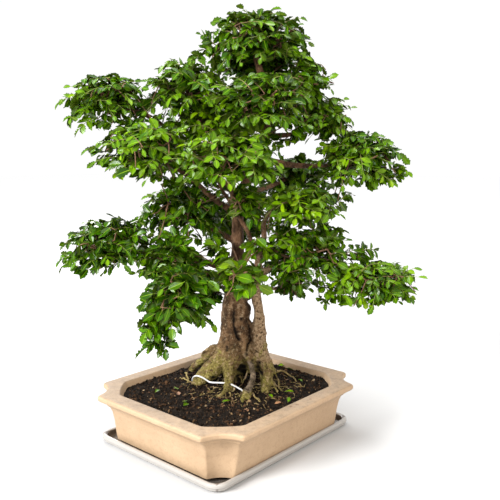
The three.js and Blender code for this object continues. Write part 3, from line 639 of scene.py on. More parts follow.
def make_crumbs(draw, count=CRUMBS):
    """Crumbs of bark and grit lying in the soil's surface."""
    places = []
    while len(places) < count:
        p = draw.uniform(-1, 1, 2) * CRUMB_HALF
        away = np.abs(p)
        if (away / CRUMB_HALF).sum() < CRUMB_CORNERS[0] and away.sum() < CRUMB_CORNERS[1]:
            places.append(p)
    places = np.array(places)
    height = soil_height(places)
    size = 0.9 + 2.6 * draw.random(count) ** 2.5
    turns = unit(draw.normal(size=(count, 3, 3)))
    points = np.einsum("ij,njk->nik", CHIP, turns) * size[:, None, None]
    points = points * draw.uniform(0.65, 1.25, (count, 6, 1))
    points += np.column_stack([places, height + size * 0.25])[:, None, :]
    faces = [tuple(6 * n + i for i in face) for n in range(count) for face in CHIP_FACES]
    piece = new_mesh("soil_crumbs", points.reshape(-1, 3), faces, crumb_look(), smooth=False)
    face_values(piece.data, "kind", np.repeat(draw.random(count), len(CHIP_FACES)))


# Wood: limbs as in the part's source, but for the second stem's top and the thin branch that leaves it
# to cross the trunk. They are made rounder here, then joined and roughened.

LIMBS = [
    ([[7, 24, 126], [6.5, 25, 165], [7.5, 25, 215], [13, 25, 262], [18, 25, 310], [18, 25, 358],
      [27, 28, 408], [45, 30, 451], [61, 30, 492], [66, 30, 540], [58, 28, 588], [48, 25, 622],
      [43, 23, 650]],
     [24, 17.5, 15.5, 12.8, 10.8, 10, 9.5, 8.8, 8, 7, 6, 5, 3.5]),
    ([[14, 28, 62], [12, 27, 86], [9, 22, 104], [7, 20, 122], [6, 22, 142], [6.5, 25, 164]],
     [11, 15, 22, 29, 24.5, 16.5]),
    ([[23, 22, 98], [24.5, 20, 116], [27.5, 20, 136], [29.5, 20, 156], [29.5, 20.5, 174],
      [25.5, 22, 191], [25, 22, 209], [21, 24, 232]],
     [12, 16.5, 17, 17, 15.5, 12.5, 12, 8]),
    ([[63, 8, 92], [61, 6, 110], [57, 5, 130], [52.5, 5, 152], [52, 5, 176], [52.5, 4, 206],
      [47.5, 1, 238], [50, -4, 284], [55, -8, 318], [60, -9, 336], [59, -10, 357], [66, -13, 373],
      [76, -20, 386], [100, -42, 398]],
     [12, 15, 14, 12, 10.8, 7.8, 8, 6.8, 5.2, 4.8, 4.4, 4.2, 4, 3]),
    ([[51, -3, 296], [41, 0, 321], [34, 2, 343], [21, 2, 364], [8, 0, 387], [-4, -6, 406],
      [-14, -20, 424]],
     [4.8, 4.2, 4, 3.8, 3.4, 3, 2]),
    ([[24, 20, 104], [44, 12, 117], [60, 6, 112]], [18, 14, 13]),
    ([[0, 16, 126], [-16, 11, 118], [-26, 9, 107], [-37, 8, 98], [-48, 9, 87], [-60, 12, 68]],
     [18, 17, 15.5, 13.8, 11, 7]),
    ([[-2, 34, 134], [-27, 38, 126], [-38, 48, 115], [-54, 66, 98], [-64, 82, 84], [-68, 90, 66]],
     [12, 9, 6.5, 6, 5, 4]),
    ([[-8, 28, 139], [-23, 30, 142], [-33, 34, 137], [-42, 40, 128], [-44, 47, 119], [-39, 50, 112]],
     [6, 3.4, 2.6, 2.4, 2.6, 3]),
    ([[4, 8, 124], [1.8, -2, 112], [1.7, -12, 99], [1, -24, 86], [0, -34, 68]], [11, 9.5, 8.8, 8.4, 5]),
    ([[1, -20, 90], [-8, -44, 84], [-19, -66, 78], [-24, -74, 68]], [6, 3.6, 2.6, 2]),
    ([[32, 6, 138], [39, -8, 123], [41, -22, 105], [35, -38, 93], [24, -66, 85], [18, -84, 70]],
     [8.5, 6, 5.4, 5, 3.4, 2.2]),
    ([[36, -36, 94], [35, -52, 88], [32, -66, 80], [30, -74, 68]], [4.4, 3.6, 2.8, 2.2]),
    ([[57, 5, 134], [66, -2, 115], [64, -12, 97], [62, -28, 84], [62, -38, 66]], [12, 11, 9.5, 8, 5]),
    ([[70, 3, 118], [77, 0, 108], [82, -2, 98], [87, -1, 84], [89, -1, 66]], [5, 2.6, 2, 1.9, 1.8]),
    ([[66, -6, 108], [71, -12, 98], [76, -22, 90], [82, -38, 81], [86, -46, 68]], [5, 2.6, 2.2, 2, 1.8]),
    ([[34, 34, 112], [62, 52, 96], [80, 66, 84], [96, 78, 64]], [16, 9, 7, 5]),
    ([[12, 40, 114], [10, 66, 96], [2, 86, 84], [-6, 104, 64]], [16, 9, 7, 5]),
    ([[62, 29, 556], [96, 30, 560], [136, 30, 578]], [5, 3.5, 2.5]),
    ([[62, 29, 576], [64, 62, 588], [62, 96, 604]], [4.5, 3.6, 2.5]),
    ([[65, 30, 512], [66, -2, 522], [59, -30, 540]], [5, 3.8, 2.5]),
    ([[60, 30, 488], [20, 24, 496], [-20, 20, 507]], [5, 3.8, 2.5]),
    ([[18, 24, 366], [24, -4, 378], [30, -26, 388]], [4.5, 3.6, 2.5]),
    ([[14, 25, 262], [-30, 6, 276], [-86, -18, 292]], [5, 4, 2.6]),
    ([[66, 30, 526], [20, 24, 538], [-44, 12, 560]], [5.5, 4, 2.6]),
    ([[24, 27, 398], [-16, 26, 430], [-60, 24, 474], [-120, 20, 526], [-180, 20, 548]],
     [7, 6.2, 5.2, 4, 2.8]),
    ([[18, 25, 372], [-16, 16, 392], [-70, -14, 440], [-120, -46, 468]], [6, 5, 4, 2.8]),
    ([[18, 25, 352], [12, -20, 390], [0, -72, 438]], [5.5, 4.4, 2.8]),
    ([[62, 30, 498], [112, 30, 502], [158, 28, 520]], [5, 4, 2.6]),
    ([[50, 30, 464], [100, 24, 452], [152, 16, 450], [204, 10, 458]], [6, 5, 4, 2.8]),
    ([[17, 25, 322], [-22, 38, 342], [-68, 49, 366]], [6, 4.6, 3]),
    ([[14, 25, 272], [-40, 24, 290], [-110, 12, 306], [-182, 1, 318]], [7, 5.6, 4.4, 3]),
    ([[11, 25, 246], [-14, -14, 272], [-44, -66, 280], [-66, -96, 258]], [5.5, 4.6, 3.8, 2.8]),
    ([[50, -2, 258], [40, -44, 276], [20, -88, 283]], [4.5, 3.6, 2.4]),
    ([[52, -3, 272], [84, -8, 290], [128, -12, 304], [184, -20, 290], [236, -30, 277]],
     [6.4, 5.6, 4.6, 3.8, 2.6]),
    ([[24, 24, 222], [56, 56, 232], [98, 96, 230]], [6, 4.4, 2.6]),
    ([[66, 30, 528], [56, 72, 540], [44, 112, 556]], [5, 4, 2.6]),
    ([[36, 29, 430], [-20, 76, 446], [-82, 128, 462]], [5.5, 4.4, 2.8]),
    ([[26, 28, 404], [70, 76, 412], [114, 124, 426]], [5.5, 4.4, 2.8]),
    ([[18, 26, 316], [22, 84, 326], [20, 142, 342]], [5.5, 4.4, 2.8]),
]
WOOD_VOXEL = 2.0
THICK = 9 # radius from which a limb is fluted and rounder


def make_wood(draw):
    parts = []
    for line, radii in LIMBS:
        count = max(6 * (len(line) - 1), 8)
        smooth = catmull(in_tree(line), count)
        radius = np.interp(np.linspace(0, 1, count), np.linspace(0, 1, len(radii)), radii)
        phase = draw.uniform(0, 6.28, 4)
        thick = radii[0] > THICK

        def flutes(k, angles, phase=phase, thick=thick, count=count):
            s = k / count
            wave = 0.05 * np.sin(3 * angles + phase[0] + 5 * s)
            wave = wave + 0.035 * np.sin(5 * angles + phase[1] - 7 * s)
            knobs = 0.05 * math.sin(9 * s + phase[2]) + 0.03 * math.sin(23 * s + phase[3])
            return 1 + (wave if thick else 0.4 * wave) + knobs

        parts.append(tube(smooth, radius, 18 if thick else 12, flutes))
    piece = new_mesh("tree_bark", *joined(parts), bark_look())
    remesh = piece.modifiers.new("merge", "REMESH")
    remesh.mode = "VOXEL"
    remesh.voxel_size = WOOD_VOXEL * MM
    soften = piece.modifiers.new("soften", "SMOOTH")
    soften.factor = 0.5
    soften.iterations = 3
    applied(piece)
    roughen_wood(piece)
    piece.data.polygons.foreach_set("use_smooth", [True] * len(piece.data.polygons))
    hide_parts("tree_wood")


# Pits and knobs of the trunk: place [r, t, z], reach and depth
PITS = [
    ([23.1, 13.2, 194], 3, 5), ([26, 8, 180.4], 2, 3.4), ([27.2, 7.8, 176.1], 2, 3.4),
    ([20.8, 10.2, 180.8], 1.8, 3), ([18.8, 9.2, 173.5], 1.8, 3), ([22.9, 7.3, 172.9], 2, 3.4),
    ([23.9, 7.2, 156.6], 2.2, 3.4), ([-1.9, 4.2, 149], 2.1, 6), ([-1.9, 3.7, 146], 2.2, 6),
    ([-1.9, 1.5, 143], 1.9, 5), ([-4.9, 11.7, 162.3], 2.2, 2.4), ([31.1, -1.5, 137.5], 3.6, 3.6),
    ([41.3, -5.6, 127.9], 3.4, 4), ([52, -3, 122.6], 3.6, 5), ([53.9, -2, 208.4], 1.9, 2),
    ([53.8, -4.8, 164.1], 2.2, 2.4), ([46.5, -5.2, 143.3], 2, 2), ([49, 2, 113], 6, 8),
    ([53, 2, 103], 7, 9), ([47, 8, 96], 7, 8), ([26, -1, 112], 7, 9), ([21, 2, 107], 6, 7),
    ([27, 7, 101], 9, 11), ([31, 8, 92], 8, 9), ([23, 13, 88], 8, 7), ([-24, -4, 96], 5, 4),
    ([17, 6, 94], 4, 5),
]
# Grooves between the trunk's lobes: points [r, t, z] and the reach at each
GROOVES = [
    ([[11.5, 12.7, 213], [10.2, 11.8, 203], [10.8, 11.8, 193], [10.4, 9.8, 183], [13.6, 8.6, 173],
      [16, 8.4, 165], [21.5, 10.6, 156]], [1.2, 2.6, 3.4, 2.2, 3.6, 2.6, 2.4]),
    ([[29.3, 12, 202], [32.4, 14, 192], [34.6, 13, 184], [37.8, 12.4, 175], [36.8, 11.5, 166],
      [38.4, 11.3, 158], [33.5, 6.4, 148], [31, 0, 140]], [0.9, 1.5, 2.0, 2.9, 2.4, 3.0, 2.0, 1.6]),
    ([[21, 10, 179], [24, 8, 176.5], [25.5, 8, 178.5], [28, 7.6, 175.5]], [1.5, 1.2, 1.6, 1.2]),
]
GROOVE_DEPTH = 4.5
GROOVE_STEPS = 44
FULL_SHADE_DEPTH = 4.5 # from which a mark's painted shade is fully dark
# The root whose bark has worn off, and how far the worn look reaches from its line
BARE_ROOT = ([[38, -9, 122], [41, -22, 106], [36, -37, 95], [31, -50, 90]], 8.5)
KNOBS = [
    ([34, 20, 212], 6, 3), ([20, 8, 201], 4, 1.8), ([28, 6, 186], 4, 1.8), ([63, 3, 150], 4, 2),
    ([62, 2, 172], 4, 1.8), ([60, 2, 200], 3, 1.4), ([41, 10, 186], 4.5, 5), ([-18, 14, 148], 7, 3),
    ([8, -6, 128], 9, 2.5), ([26, -4, 134], 7, 2.5), ([-6, 6, 160], 5, 1.8), ([52, -6, 150], 5, 1.8),
    ([58, -6, 134], 6, 2), ([31, 3, 163], 4.5, 2.2), ([20, 5, 187], 4, 1.6), ([60.7, -1.9, 180], 3, 1.5),
    ([2, 0, 136], 5, 2),
]
# Where the second stem's paler bark begins: r, and the heights of its top and foot
PALE_STEM = ([41, 47], [424, 404], [112, 130])
FLAT_MARK = [1, 0.45, 1] # a mark reaches further into the wood than along it


def along_grooves():
    """A row of marks a millimetre and a half apart for each groove."""
    for line, reach in GROOVES:
        path = catmull(line, GROOVE_STEPS)
        path = path + 0.9 * np.stack([fbm(path + 90 * k, 5, 2) for k in range(3)], axis=1)
        wide = np.interp(np.linspace(0, 1, GROOVE_STEPS), np.linspace(0, 1, len(reach)), reach)
        wide = wide * (1 + 0.3 * fbm(path, 3, 2))
        yield from ((list(p), w, GROOVE_DEPTH * min(1, w / 2)) for p, w in zip(path, wide))


def between(value, ends):
    return np.clip((value - ends[0]) / (ends[1] - ends[0]), 0, 1)


def roughen_wood(piece):
    mesh = piece.data
    count = len(mesh.vertices)
    points, normals = np.empty(count * 3, np.float32), np.empty(count * 3, np.float32)
    mesh.vertices.foreach_get("co", points)
    mesh.vertices.foreach_get("normal", normals)
    points, normals = points.reshape(-1, 3) / MM, normals.reshape(-1, 3)
    low = np.clip((330 - points[:, 2]) / 150, 0.25, 1)
    squeezed = points * [1, 1, 0.55]
    rise = low * (1.5 * fbm(squeezed, 11, 3) + 1.0 * fbm(points + 300, 4.5, 2))
    dark, dip = np.zeros(count), np.zeros(count)
    tree = np.stack([points @ in_tree([1, 0, 0])[0], points @ in_tree([0, 1, 0])[0], points[:, 2]], axis=1)
    # The pits and grooves dip into the wood and get painted shade, darker where they dip deeper
    for place, reach, depth in [*PITS, *along_grooves()]:
        away = np.linalg.norm((tree - place) * FLAT_MARK, axis=1)
        near = np.exp(-((away / reach) ** 2))
        dip = np.maximum(dip, depth * near)
        dark = np.maximum(dark, near * min(1.0, depth / FULL_SHADE_DEPTH))
    for place, reach, height in KNOBS:
        rise += height * np.exp(-((np.linalg.norm(points - in_tree(place)[0], axis=1) / reach) ** 2))
    rows, top, foot_end = PALE_STEM
    height = between(points[:, 2], top) * between(points[:, 2], foot_end)
    point_values(mesh, "stem", between(tree[:, 0], rows) * height)
    line, reach = BARE_ROOT
    away = np.min([np.linalg.norm(points - p, axis=1) for p in catmull(in_tree(line), 24)], axis=0)
    point_values(mesh, "bare", np.clip((reach - away) / 3, 0, 1))
    point_values(mesh, "painted_hollow_shade", np.clip(dark * 1.7 - 0.2, 0, 1))
    moved = (points + normals * (rise - dip)[:, None]) * MM
    mesh.vertices.foreach_set("co", moved.astype(np.float32).ravel())
    mesh.update()


WIRE = [[-62, 26, 70], [-61, 20, 84], [-58, 8, 95], [-51, -4, 101], [-42, -8, 99], [-35.5, -9, 95],
        [-31, -11, 92.6], [-24, -15, 92.8], [-11, -20, 94], [0, -24.5, 94.5], [8, -27, 92.4],
        [17, -31, 88.8], [24, -36, 85.5], [27, -38, 74]]
WIRE_RADIUS, WIRE_SIDES, WIRE_STEPS = 1.4, 12, 56


def make_wire():
    line = catmull(in_tree(WIRE), WIRE_STEPS)
    piece = new_mesh("wire_tie", *tube(line, np.full(WIRE_STEPS, WIRE_RADIUS), WIRE_SIDES), wire_look())
    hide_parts("tie_wire")


# Leaves

# Half a leaf: its rib's points, and its toothed edge as (share of the length, share of the half width)
RIB = [0.0, 0.34, 0.68, 1.0]
EDGE = [(0.11, 0.42), (0.26, 0.86), (0.33, 0.69), (0.49, 1.09), (0.57, 0.85), (0.73, 0.93), (0.80, 0.62)]
EDGE_WAVE = [0, 0.5, -0.4, 0.6, -0.5, 0.5, -0.3]
HALF_FACES = [(0, 4, 5, 6, 1), (1, 6, 7, 8, 2), (2, 8, 9, 10, 3)]
STALK = [(-0.14, -0.035), (0.03, -0.045), (0.03, 0.045), (-0.14, 0.035)]
SHEETS = [(side, face) for face in (1, -1) for side in (1, -1)]
LEAF_THICK = 0.3


def leaf_plan():
    """One leaf flat: its points as (along, across, side, wave), and its faces."""
    points, faces, under = [], [], []
    for side, face in SHEETS:
        first = len(points)
        points += [(t, 0, face * (0 < t < 1), 0) for t in RIB]
        points += [(t, side * w, 0, wave) for (t, w), wave in zip(EDGE, EDGE_WAVE)]
        for corners in HALF_FACES:
            order = corners if side * face < 0 else corners[::-1]
            faces.append([first + k for k in order])
            under.append(face < 0)
    for face in (1, -1):
        first = len(points)
        points += [(t, w, face, 0) for t, w in STALK]
        order = range(4) if face > 0 else range(3, -1, -1)
        faces.append([first + k for k in order])
        under.append(face < 0)
    return np.array(points, float), faces, under


LEAF_PLAN, LEAF_FACES, LEAF_UNDER = leaf_plan()
LEAF_POINTS = len(LEAF_PLAN)


def leaf_points(at, along, normal, long, wide, fold, curl, wave):
    """The points of many leaves: their stalks start at at, and they fold up from their ribs."""
    side = unit(np.cross(normal, along))
    normal = np.cross(along, side)
    t, across, face, ripple = LEAF_PLAN.T
    x = np.outer(long, t)
    y = np.outer(wide / 2, across)
    lift = np.outer(np.tan(fold) * wide / 2, np.abs(across)) + np.outer(wave * long, ripple * np.sign(across))
    z = lift + LEAF_THICK / 2 * face - np.outer(curl * long, np.clip(t, 0, 1) ** 2)
    local = np.stack([x, y, z], axis=-1)
    axes = np.stack([along, side, normal], axis=1)
    return at[:, None, :] + np.einsum("nij,njk->nik", local, axes)


def leaf_mesh(name, material, leaves):
    """One piece of many leaves, with each leaf's tone and a place of its own in the baked picture."""
    at, along, normal, long, wide, fold, curl, wave, tone, young = leaves
    count = len(at)
    points = leaf_points(at, along, normal, long, wide, fold, curl, wave).reshape(-1, 3)
    faces = [[i + n * LEAF_POINTS for i in face] for n in range(count) for face in LEAF_FACES]
    piece = new_mesh(name, points, faces, material)
    mesh = piece.data
    corner = np.concatenate(LEAF_FACES)
    place = np.column_stack([0.5 + LEAF_PLAN[corner, 1] / 2.1, LEAF_PLAN[corner, 0]])
    beneath = np.repeat(LEAF_UNDER, [len(face) for face in LEAF_FACES])
    flat = np.tile(place, (count, 1)).astype(np.float32)
    mesh.uv_layers.new(name="leaf").data.foreach_set("uv", flat.ravel())
    grid = math.ceil(math.sqrt(count))
    cell = np.stack([np.arange(count) % grid, np.arange(count) // grid], axis=1)
    inner = [place[:, 0] * 0.42 + 0.04 + beneath * 0.5, (place[:, 1] + 0.16) / 1.2 * 0.94 + 0.02]
    inner = np.column_stack(inner)
    baked = (cell[:, None, :] + inner[None, :, :]) / grid
    mesh.uv_layers.new(name="OFBake").data.foreach_set("uv", baked.astype(np.float32).ravel())
    face_values(mesh, "under", np.tile(LEAF_UNDER, count))
    point_values(mesh, "tone", np.repeat(tone, LEAF_POINTS))
    point_values(mesh, "young", np.repeat(young, LEAF_POINTS))
    return piece


PADS = [
    ("apex", [52, 30, 646], [92, 78, 54]), ("apex_right", [133, 30, 572], [44, 53, 54]),
    ("apex_back", [62, 100, 609], [83, 66, 48]), ("crown_front", [55, -35, 545], [86, 59, 55]),
    ("shoulder_left", [-60, 10, 566], [78, 66, 50]), ("crown_left", [-24, 20, 511], [71, 57, 44]),
    ("far_left_upper", [-190, 20, 556], [72, 60, 42]), ("left_mid_front", [-122, -50, 476], [84, 62, 43]),
    ("centre_mid", [2, -85, 458], [89, 59, 47]), ("right_upper", [166, 28, 521], [53, 55, 38]),
    ("right_mid", [210, 10, 458], [80, 63, 48]), ("centre_right", [113, -50, 391], [74, 58, 34]),
    ("centre_fill", [30, -30, 391], [47, 43, 33]), ("left_mid_back", [-73, 50, 372], [85, 64, 47]),
    ("far_left_lower", [-191, 0, 321], [87, 61, 46]), ("left_low_inner", [-92, -20, 297], [64, 51, 38]),
    ("left_hanging", [-70, -100, 254], [52, 48, 60]), ("centre_low", [16, -95, 288], [36, 32, 25]),
    ("right_low", [128, -10, 304], [88, 62, 52]), ("right_low_far", [238, -30, 266], [78, 58, 38]),
    ("right_low_back", [116, 90, 240], [38, 44, 26]), ("back_crown", [30, 128, 536], [84, 60, 44]),
    ("back_left", [-92, 134, 458], [80, 62, 42]), ("back_right", [124, 130, 424], [84, 62, 44]),
    ("back_low", [16, 150, 340], [80, 58, 40]),
]
# Shoots between the pads and past their edges: each pad's places [r, t, z]
STRAYS = {
    "shoulder_left": [
        [-139, 20, 539], [-110, 10, 529], [-83, 0, 538], [-58, 0, 526], [-123, 20, 558], [-84, 10, 611],
        [-103, 10, 590], [-62, 10, 606], [-45, 10, 622], [-90, 0, 519], [-76, 0, 512],
    ],
    "crown_left": [[-34, -10, 534], [-18, -5, 516], [-43, 10, 513]],
    "left_mid_back": [
        [-94, 10, 421], [-79, 5, 415], [-53, 0, 421], [-34, 10, 404], [-64, 20, 391], [-21, 20, 387],
        [-8, 0, 402], [-25, -10, 417], [-8, -10, 412], [-113, 10, 337], [-92, 10, 336], [-73, 10, 337],
        [-53, 5, 333], [-131, 10, 374],
    ],
    "centre_fill": [[8, -5, 386], [30, -20, 403], [49, -20, 381], [21, -30, 416]],
    "centre_right": [
        [88, -20, 374], [117, -20, 368], [68, -20, 400], [57, 0, 359], [77, -10, 362], [102, -10, 363],
        [126, -10, 362], [150, -10, 354], [175, -10, 348],
    ],
    "right_low": [
        [82, -20, 332], [111, -20, 339], [63, -10, 311], [95, 0, 353], [138, -10, 337], [208, -20, 317],
        [228, -20, 317], [143, -30, 267], [159, -30, 255], [153, -30, 237], [207, -20, 304], [217, -20, 303],
    ],
    "centre_low": [
        [36, -40, 300], [20, -60, 297], [7, -40, 306], [-8, -30, 299], [46, -20, 274], [-15, -20, 323],
        [-2, -20, 316], [37, -20, 326], [46, -20, 314], [44, -20, 331], [53, -20, 323],
    ],
    "left_low_inner": [[-22, 0, 313], [-36, -20, 297], [-12, 10, 332]],
    "left_hanging": [
        [-35, -60, 275], [-24, -50, 249], [-82, -110, 255], [-104, -110, 210], [-94, -110, 191],
        [-106, -112, 192], [-107, -110, 271], [-109, -110, 252], [-112, -110, 234], [-114, -110, 216],
        [-19, -50, 272], [-21, -50, 256],
    ],
    "apex": [
        [9, 20, 675], [33, 10, 682], [62, 20, 686], [-24, 20, 636], [130, 20, 631], [-29, 20, 652],
        [-24, 20, 633], [-18, 20, 618], [-7, 20, 604],
    ],
    "right_upper": [
        [167, 10, 517], [73, 0, 490], [92, 0, 490], [108, 0, 497],
    ],
    "right_mid": [
        [270, 0, 475], [280, 0, 446], [156, -10, 348], [188, 0, 431], [211, 0, 428], [234, 0, 429],
        [257, 0, 429], [275, 0, 434], [206, 0, 500], [230, 0, 496], [253, 0, 490], [190, -10, 402],
    ],
    "far_left_upper": [
        [-250, 10, 557], [-244, 0, 528], [-216, 0, 522], [-191, -5, 520], [-172, 0, 521],
        [-149, 5, 521], [-128, 0, 524],
    ],
    "left_mid_front": [
        [-200, -40, 478], [-186, -50, 458], [-158, -60, 444], [-134, -30, 443], [-114, -40, 439],
        [-95, -30, 432], [-75, -30, 432],
    ],
    "far_left_lower": [
        [-212, 10, 359], [-191, 10, 361], [-167, 10, 361], [-145, 10, 362], [-238, -10, 290],
        [-212, -10, 287], [-188, -10, 291], [-261, 0, 304],
    ],
    "right_low_far": [
        [289, -30, 276], [292, -30, 254], [240, -40, 242], [176, -30, 245], [192, -30, 238],
        [216, -40, 239], [242, -40, 238], [263, -40, 241], [282, -40, 246],
    ],
    "crown_front": [[114, -30, 512], [137, -30, 524]],
    "apex_right": [[166, 10, 555], [154, 20, 581]],
    "centre_mid": [[25, -30, 504], [44, -30, 501]],
}
# How much larger than the others some pads' leaves are
SIZES = {"left_hanging": 1.4, "centre_low": 1.4, "left_low_inner": 1.15, "centre_fill": 1.15}
# How young each pad's leaves look, from dark green at 0 to yellow-green at 1
BRIGHT = {
    "apex": 0.30, "apex_right": 0.26, "apex_back": 0.2, "crown_front": 0.46, "shoulder_left": 0.46,
    "crown_left": 0.4, "far_left_upper": 0.30, "left_mid_front": 0.44, "centre_mid": 0.60,
    "right_upper": 0.3, "right_mid": 0.42, "centre_right": 0.56, "centre_fill": 0.35,
    "left_mid_back": 0.14, "far_left_lower": 0.12, "left_low_inner": 0.28, "left_hanging": 0.12,
    "centre_low": 0.5, "right_low": 0.42, "right_low_far": 0.5, "right_low_back": 0.25,
}
# Limbs that few leaves hide from the front: their lines [r, t, z] and how far leaves keep off, and from
# where they are seen
OPEN_LIMBS = [
    ([[19, 15, 276], [15, 15, 310], [11, 15, 340], [7, 15, 370]], 15),
    ([[47, -9, 300], [55, -12, 320], [60, -13, 336], [59, -14, 357], [66, -17, 375]], 11.5),
    ([[36, -2, 336], [21, -2, 364], [8, -4, 387], [-2, -8, 402]], 10.5),
    ([[0, 12, 378], [-16, 10, 392], [-36, 4, 412]], 10),
]
VIEWPOINT = (0, -1069, 472)
HIDING_SHARE = 0.08 # of the leaves before those limbs, those that stay

PAD_FULLNESS = 0.75
SHOOT_LONG = 44
SHOOT_SPACING = 24.5
INNER_SPACING = 33
SHY = (23, 23, 9) # how far inside a pad's surface its shoots' middles lie
LOWEST = math.radians(118)
LEAF_LONG, LEAF_WIDE = 20.5, 0.60
NODES = 5 # pairs of leaves on a shoot
SHOOT_STEPS = 25 # points on a shoot's line
SHOOT_SIZES = (0.78, 1.22)
# A shoot's points: share of its length from its middle, how much it rises there and how far it sways
SHOOT_POINTS = ((-0.74, 0.28, 1.0), (-0.37, 0.12, 0.2), (-0.01, 0.0, 0.0), (0.35, -0.26, 0.6))
STRAY_POINTS = ((-0.5, -0.18), (-0.2, -0.04), (0.15, 0.0), (0.45, -0.10)) # a stray shoot's share and rise
STRAY_SIZES = (0.55, 0.85)
INNER_SURFACE, INNER_DEPTH = 0.75, 0.6 # of the pad: where its inner shoots are spread and how deep they lie
AGE_AND_PAINTED_SHADE = (0, 0.25, 0) # how much older, and how much darker with painted shade, the outer, the inner and the stray shoots look
BRANCHLETS = 6
BRANCHLET_STEPS, BRANCHLET_SIDES, BRANCHLET_RADII = 10, 6, (2.3, 1.1)
TWIG_STEPS, TWIG_SIDES, TWIG_RADII = 7, 3, (1.2, 0.4)
TRIES = 1400 # places tried for the shoots of a pad
LEAF_LEAN = math.radians(57) # from the shoot
LEAF_DROOP = [0, 0, -0.22]
FIRST_PAIR, PAIRS_REACH = 0.20, 0.74 # shares of the shoot
# Ranges of a shoot's leaf size and tone, and of each leaf's length, width, fold (radians) and curl
LEAVES_BIG, LEAVES_TONE = (0.84, 1.16), (0.05, 0.85)
LENGTHS, WIDTHS, FOLDS, CURLS = (0.72, 1.15), (0.88, 1.14), (0.10, 0.50), (0.0, 0.26)
END_LEAF, SHRINK = 0.72, 0.07 # the end leaf's length, and how much shorter each pair is
USUAL_YOUTH = 0.35
LIGHTWARD = in_tree([-0.08, -0.42, 0.8])[0] # the side that the leaves turn to
LUMPS = 0.17 # how far a pad's surface swells and sinks


def on_pad(at, half, way, share):
    p = way * np.asarray(share)[..., None]
    height = np.sign(p[..., 2]) * np.abs(p[..., 2]) ** PAD_FULLNESS
    local = np.stack([p[..., 0] * half[0], p[..., 1] * half[1], height * half[2]], axis=-1) + at
    return in_tree(local.reshape(-1, 3)).reshape(local.shape)


def turned(from_top, turn):
    flat = np.sin(from_top)
    return np.stack([flat * np.cos(turn), flat * np.sin(turn), np.cos(from_top) + 0 * turn], axis=-1)


def spread(draw, at, half, spacing, share):
    """Angles of places all over a pad, at least spacing apart."""
    angle = np.arccos(draw.uniform(math.cos(LOWEST), 1, TRIES))
    turn = draw.uniform(0, 2 * math.pi, TRIES)
    points = on_pad(np.array(at), half, turned(angle, turn), np.full(TRIES, share))
    kept = []
    for k in range(TRIES):
        if not kept or np.min(np.sum((points[kept] - points[k]) ** 2, axis=1)) > spacing ** 2:
            kept.append(k)
    return angle[kept], turn[kept]


def flat_way(turn):
    return in_tree(np.stack([np.cos(turn), np.sin(turn), 0 * turn], axis=-1))


def shoots(draw, at, half, angle, turn, share):
    """Each shoot's line of four points, near level, out over the pad's edge and drooping at its tip."""
    at = np.array(at, float)
    inner = [max(h - shy, h * 0.45) for h, shy in zip(half, SHY)]
    way = turned(angle, turn)
    lump = 1 + LUMPS * fbm(way * 1000 + at * 7, 620, 2)
    site = on_pad(at, inner, way, share * lump)
    rim = np.clip(angle / (math.pi / 2), 0, 1.35)
    heading = flat_way(turn + draw.normal(0, 0.55 + 0.9 * np.exp(-2.5 * rim)))
    across = np.stack([-heading[:, 1], heading[:, 0], 0 * rim], axis=1)
    slope = 0.28 - 0.40 * rim ** 2 + draw.normal(0, 0.30, len(angle))
    long = SHOOT_LONG * draw.uniform(*SHOOT_SIZES, len(angle))
    sway = draw.normal(0, 0.16, len(angle))
    points = []
    for part, lift, swing in SHOOT_POINTS:
        rise = (slope + lift) * part
        points.append(site + heading * (part * long)[:, None] + across * (swing * sway * long)[:, None]
                      + np.outer(rise * long, [0, 0, 1]))
    return np.stack(points, axis=1)


def leaves_on(draw, lines, centre, bright, size, shade):
    """Pairs of leaves along each shoot and one at its end."""
    rows = []
    for line in lines:
        path = catmull(line, SHOOT_STEPS)
        along = unit(np.gradient(path, axis=0))
        big = size * draw.uniform(*LEAVES_BIG)
        # shade below 1 darkens the tone as painted shade, for the leaves deep inside a pad
        tone = shade * draw.uniform(*LEAVES_TONE)
        youth = bright + 0.42 * fbm(line[2:3] + 500, 70, 2)[0] + draw.normal(0, 0.13)
        outward = unit((line[2] - centre) * [1, 1, 0.5])
        facing = unit(LIGHTWARD + outward * 0.5 + draw.normal(0, 0.2, 3))
        for node in range(NODES + 1):
            end = node == NODES
            share = 1.0 if end else FIRST_PAIR + PAIRS_REACH * node / NODES
            k = int(share * (SHOOT_STEPS - 1))
            here, ahead = path[k], along[k]
            side = unit(np.cross(ahead, facing))
            up = np.cross(side, ahead)
            for which in ((0,) if end else (-1, 1)):
                lean = draw.normal(LEAF_LEAN, 0.17) * which
                way = ahead * math.cos(lean) + side * math.sin(lean)
                way = unit(way + draw.normal(0, 0.26, 3) + LEAF_DROOP)
                tilt = unit(up + draw.normal(0, 0.45, 3) + side * which * 0.12)
                long = LEAF_LONG * big * draw.uniform(*LENGTHS) * (END_LEAF if end else 1 - SHRINK * node)
                young = np.clip(youth - 0.08 + 0.09 * (node - 3) + draw.normal(0, 0.12), 0, 1)
                rows.append([*here, *way, *tilt, long, long * LEAF_WIDE * draw.uniform(*WIDTHS),
                             draw.uniform(*FOLDS), draw.uniform(*CURLS), draw.normal(0, 0.035),
                             np.clip(tone + draw.normal(0, 0.16), 0, 1), young])
    return np.array(rows)


def shoots_at(draw, places):
    """Shoots of their own at places [r, t, z], away from the trunk."""
    out = []
    for place in places:
        site = in_tree(place)[0]
        level = site * [1, 1, 0] - in_tree([25, 25, 0])[0]
        turn = math.atan2(level[1], level[0]) + draw.normal(0, 0.7)
        heading = np.array([math.cos(turn), math.sin(turn), 0])
        long = SHOOT_LONG * draw.uniform(*STRAY_SIZES)
        slope = draw.normal(-0.05, 0.3)
        out.append([site + heading * a * long + [0, 0, (slope * a + b) * long] for a, b in STRAY_POINTS])
    return np.array(out).reshape(-1, 4, 3)


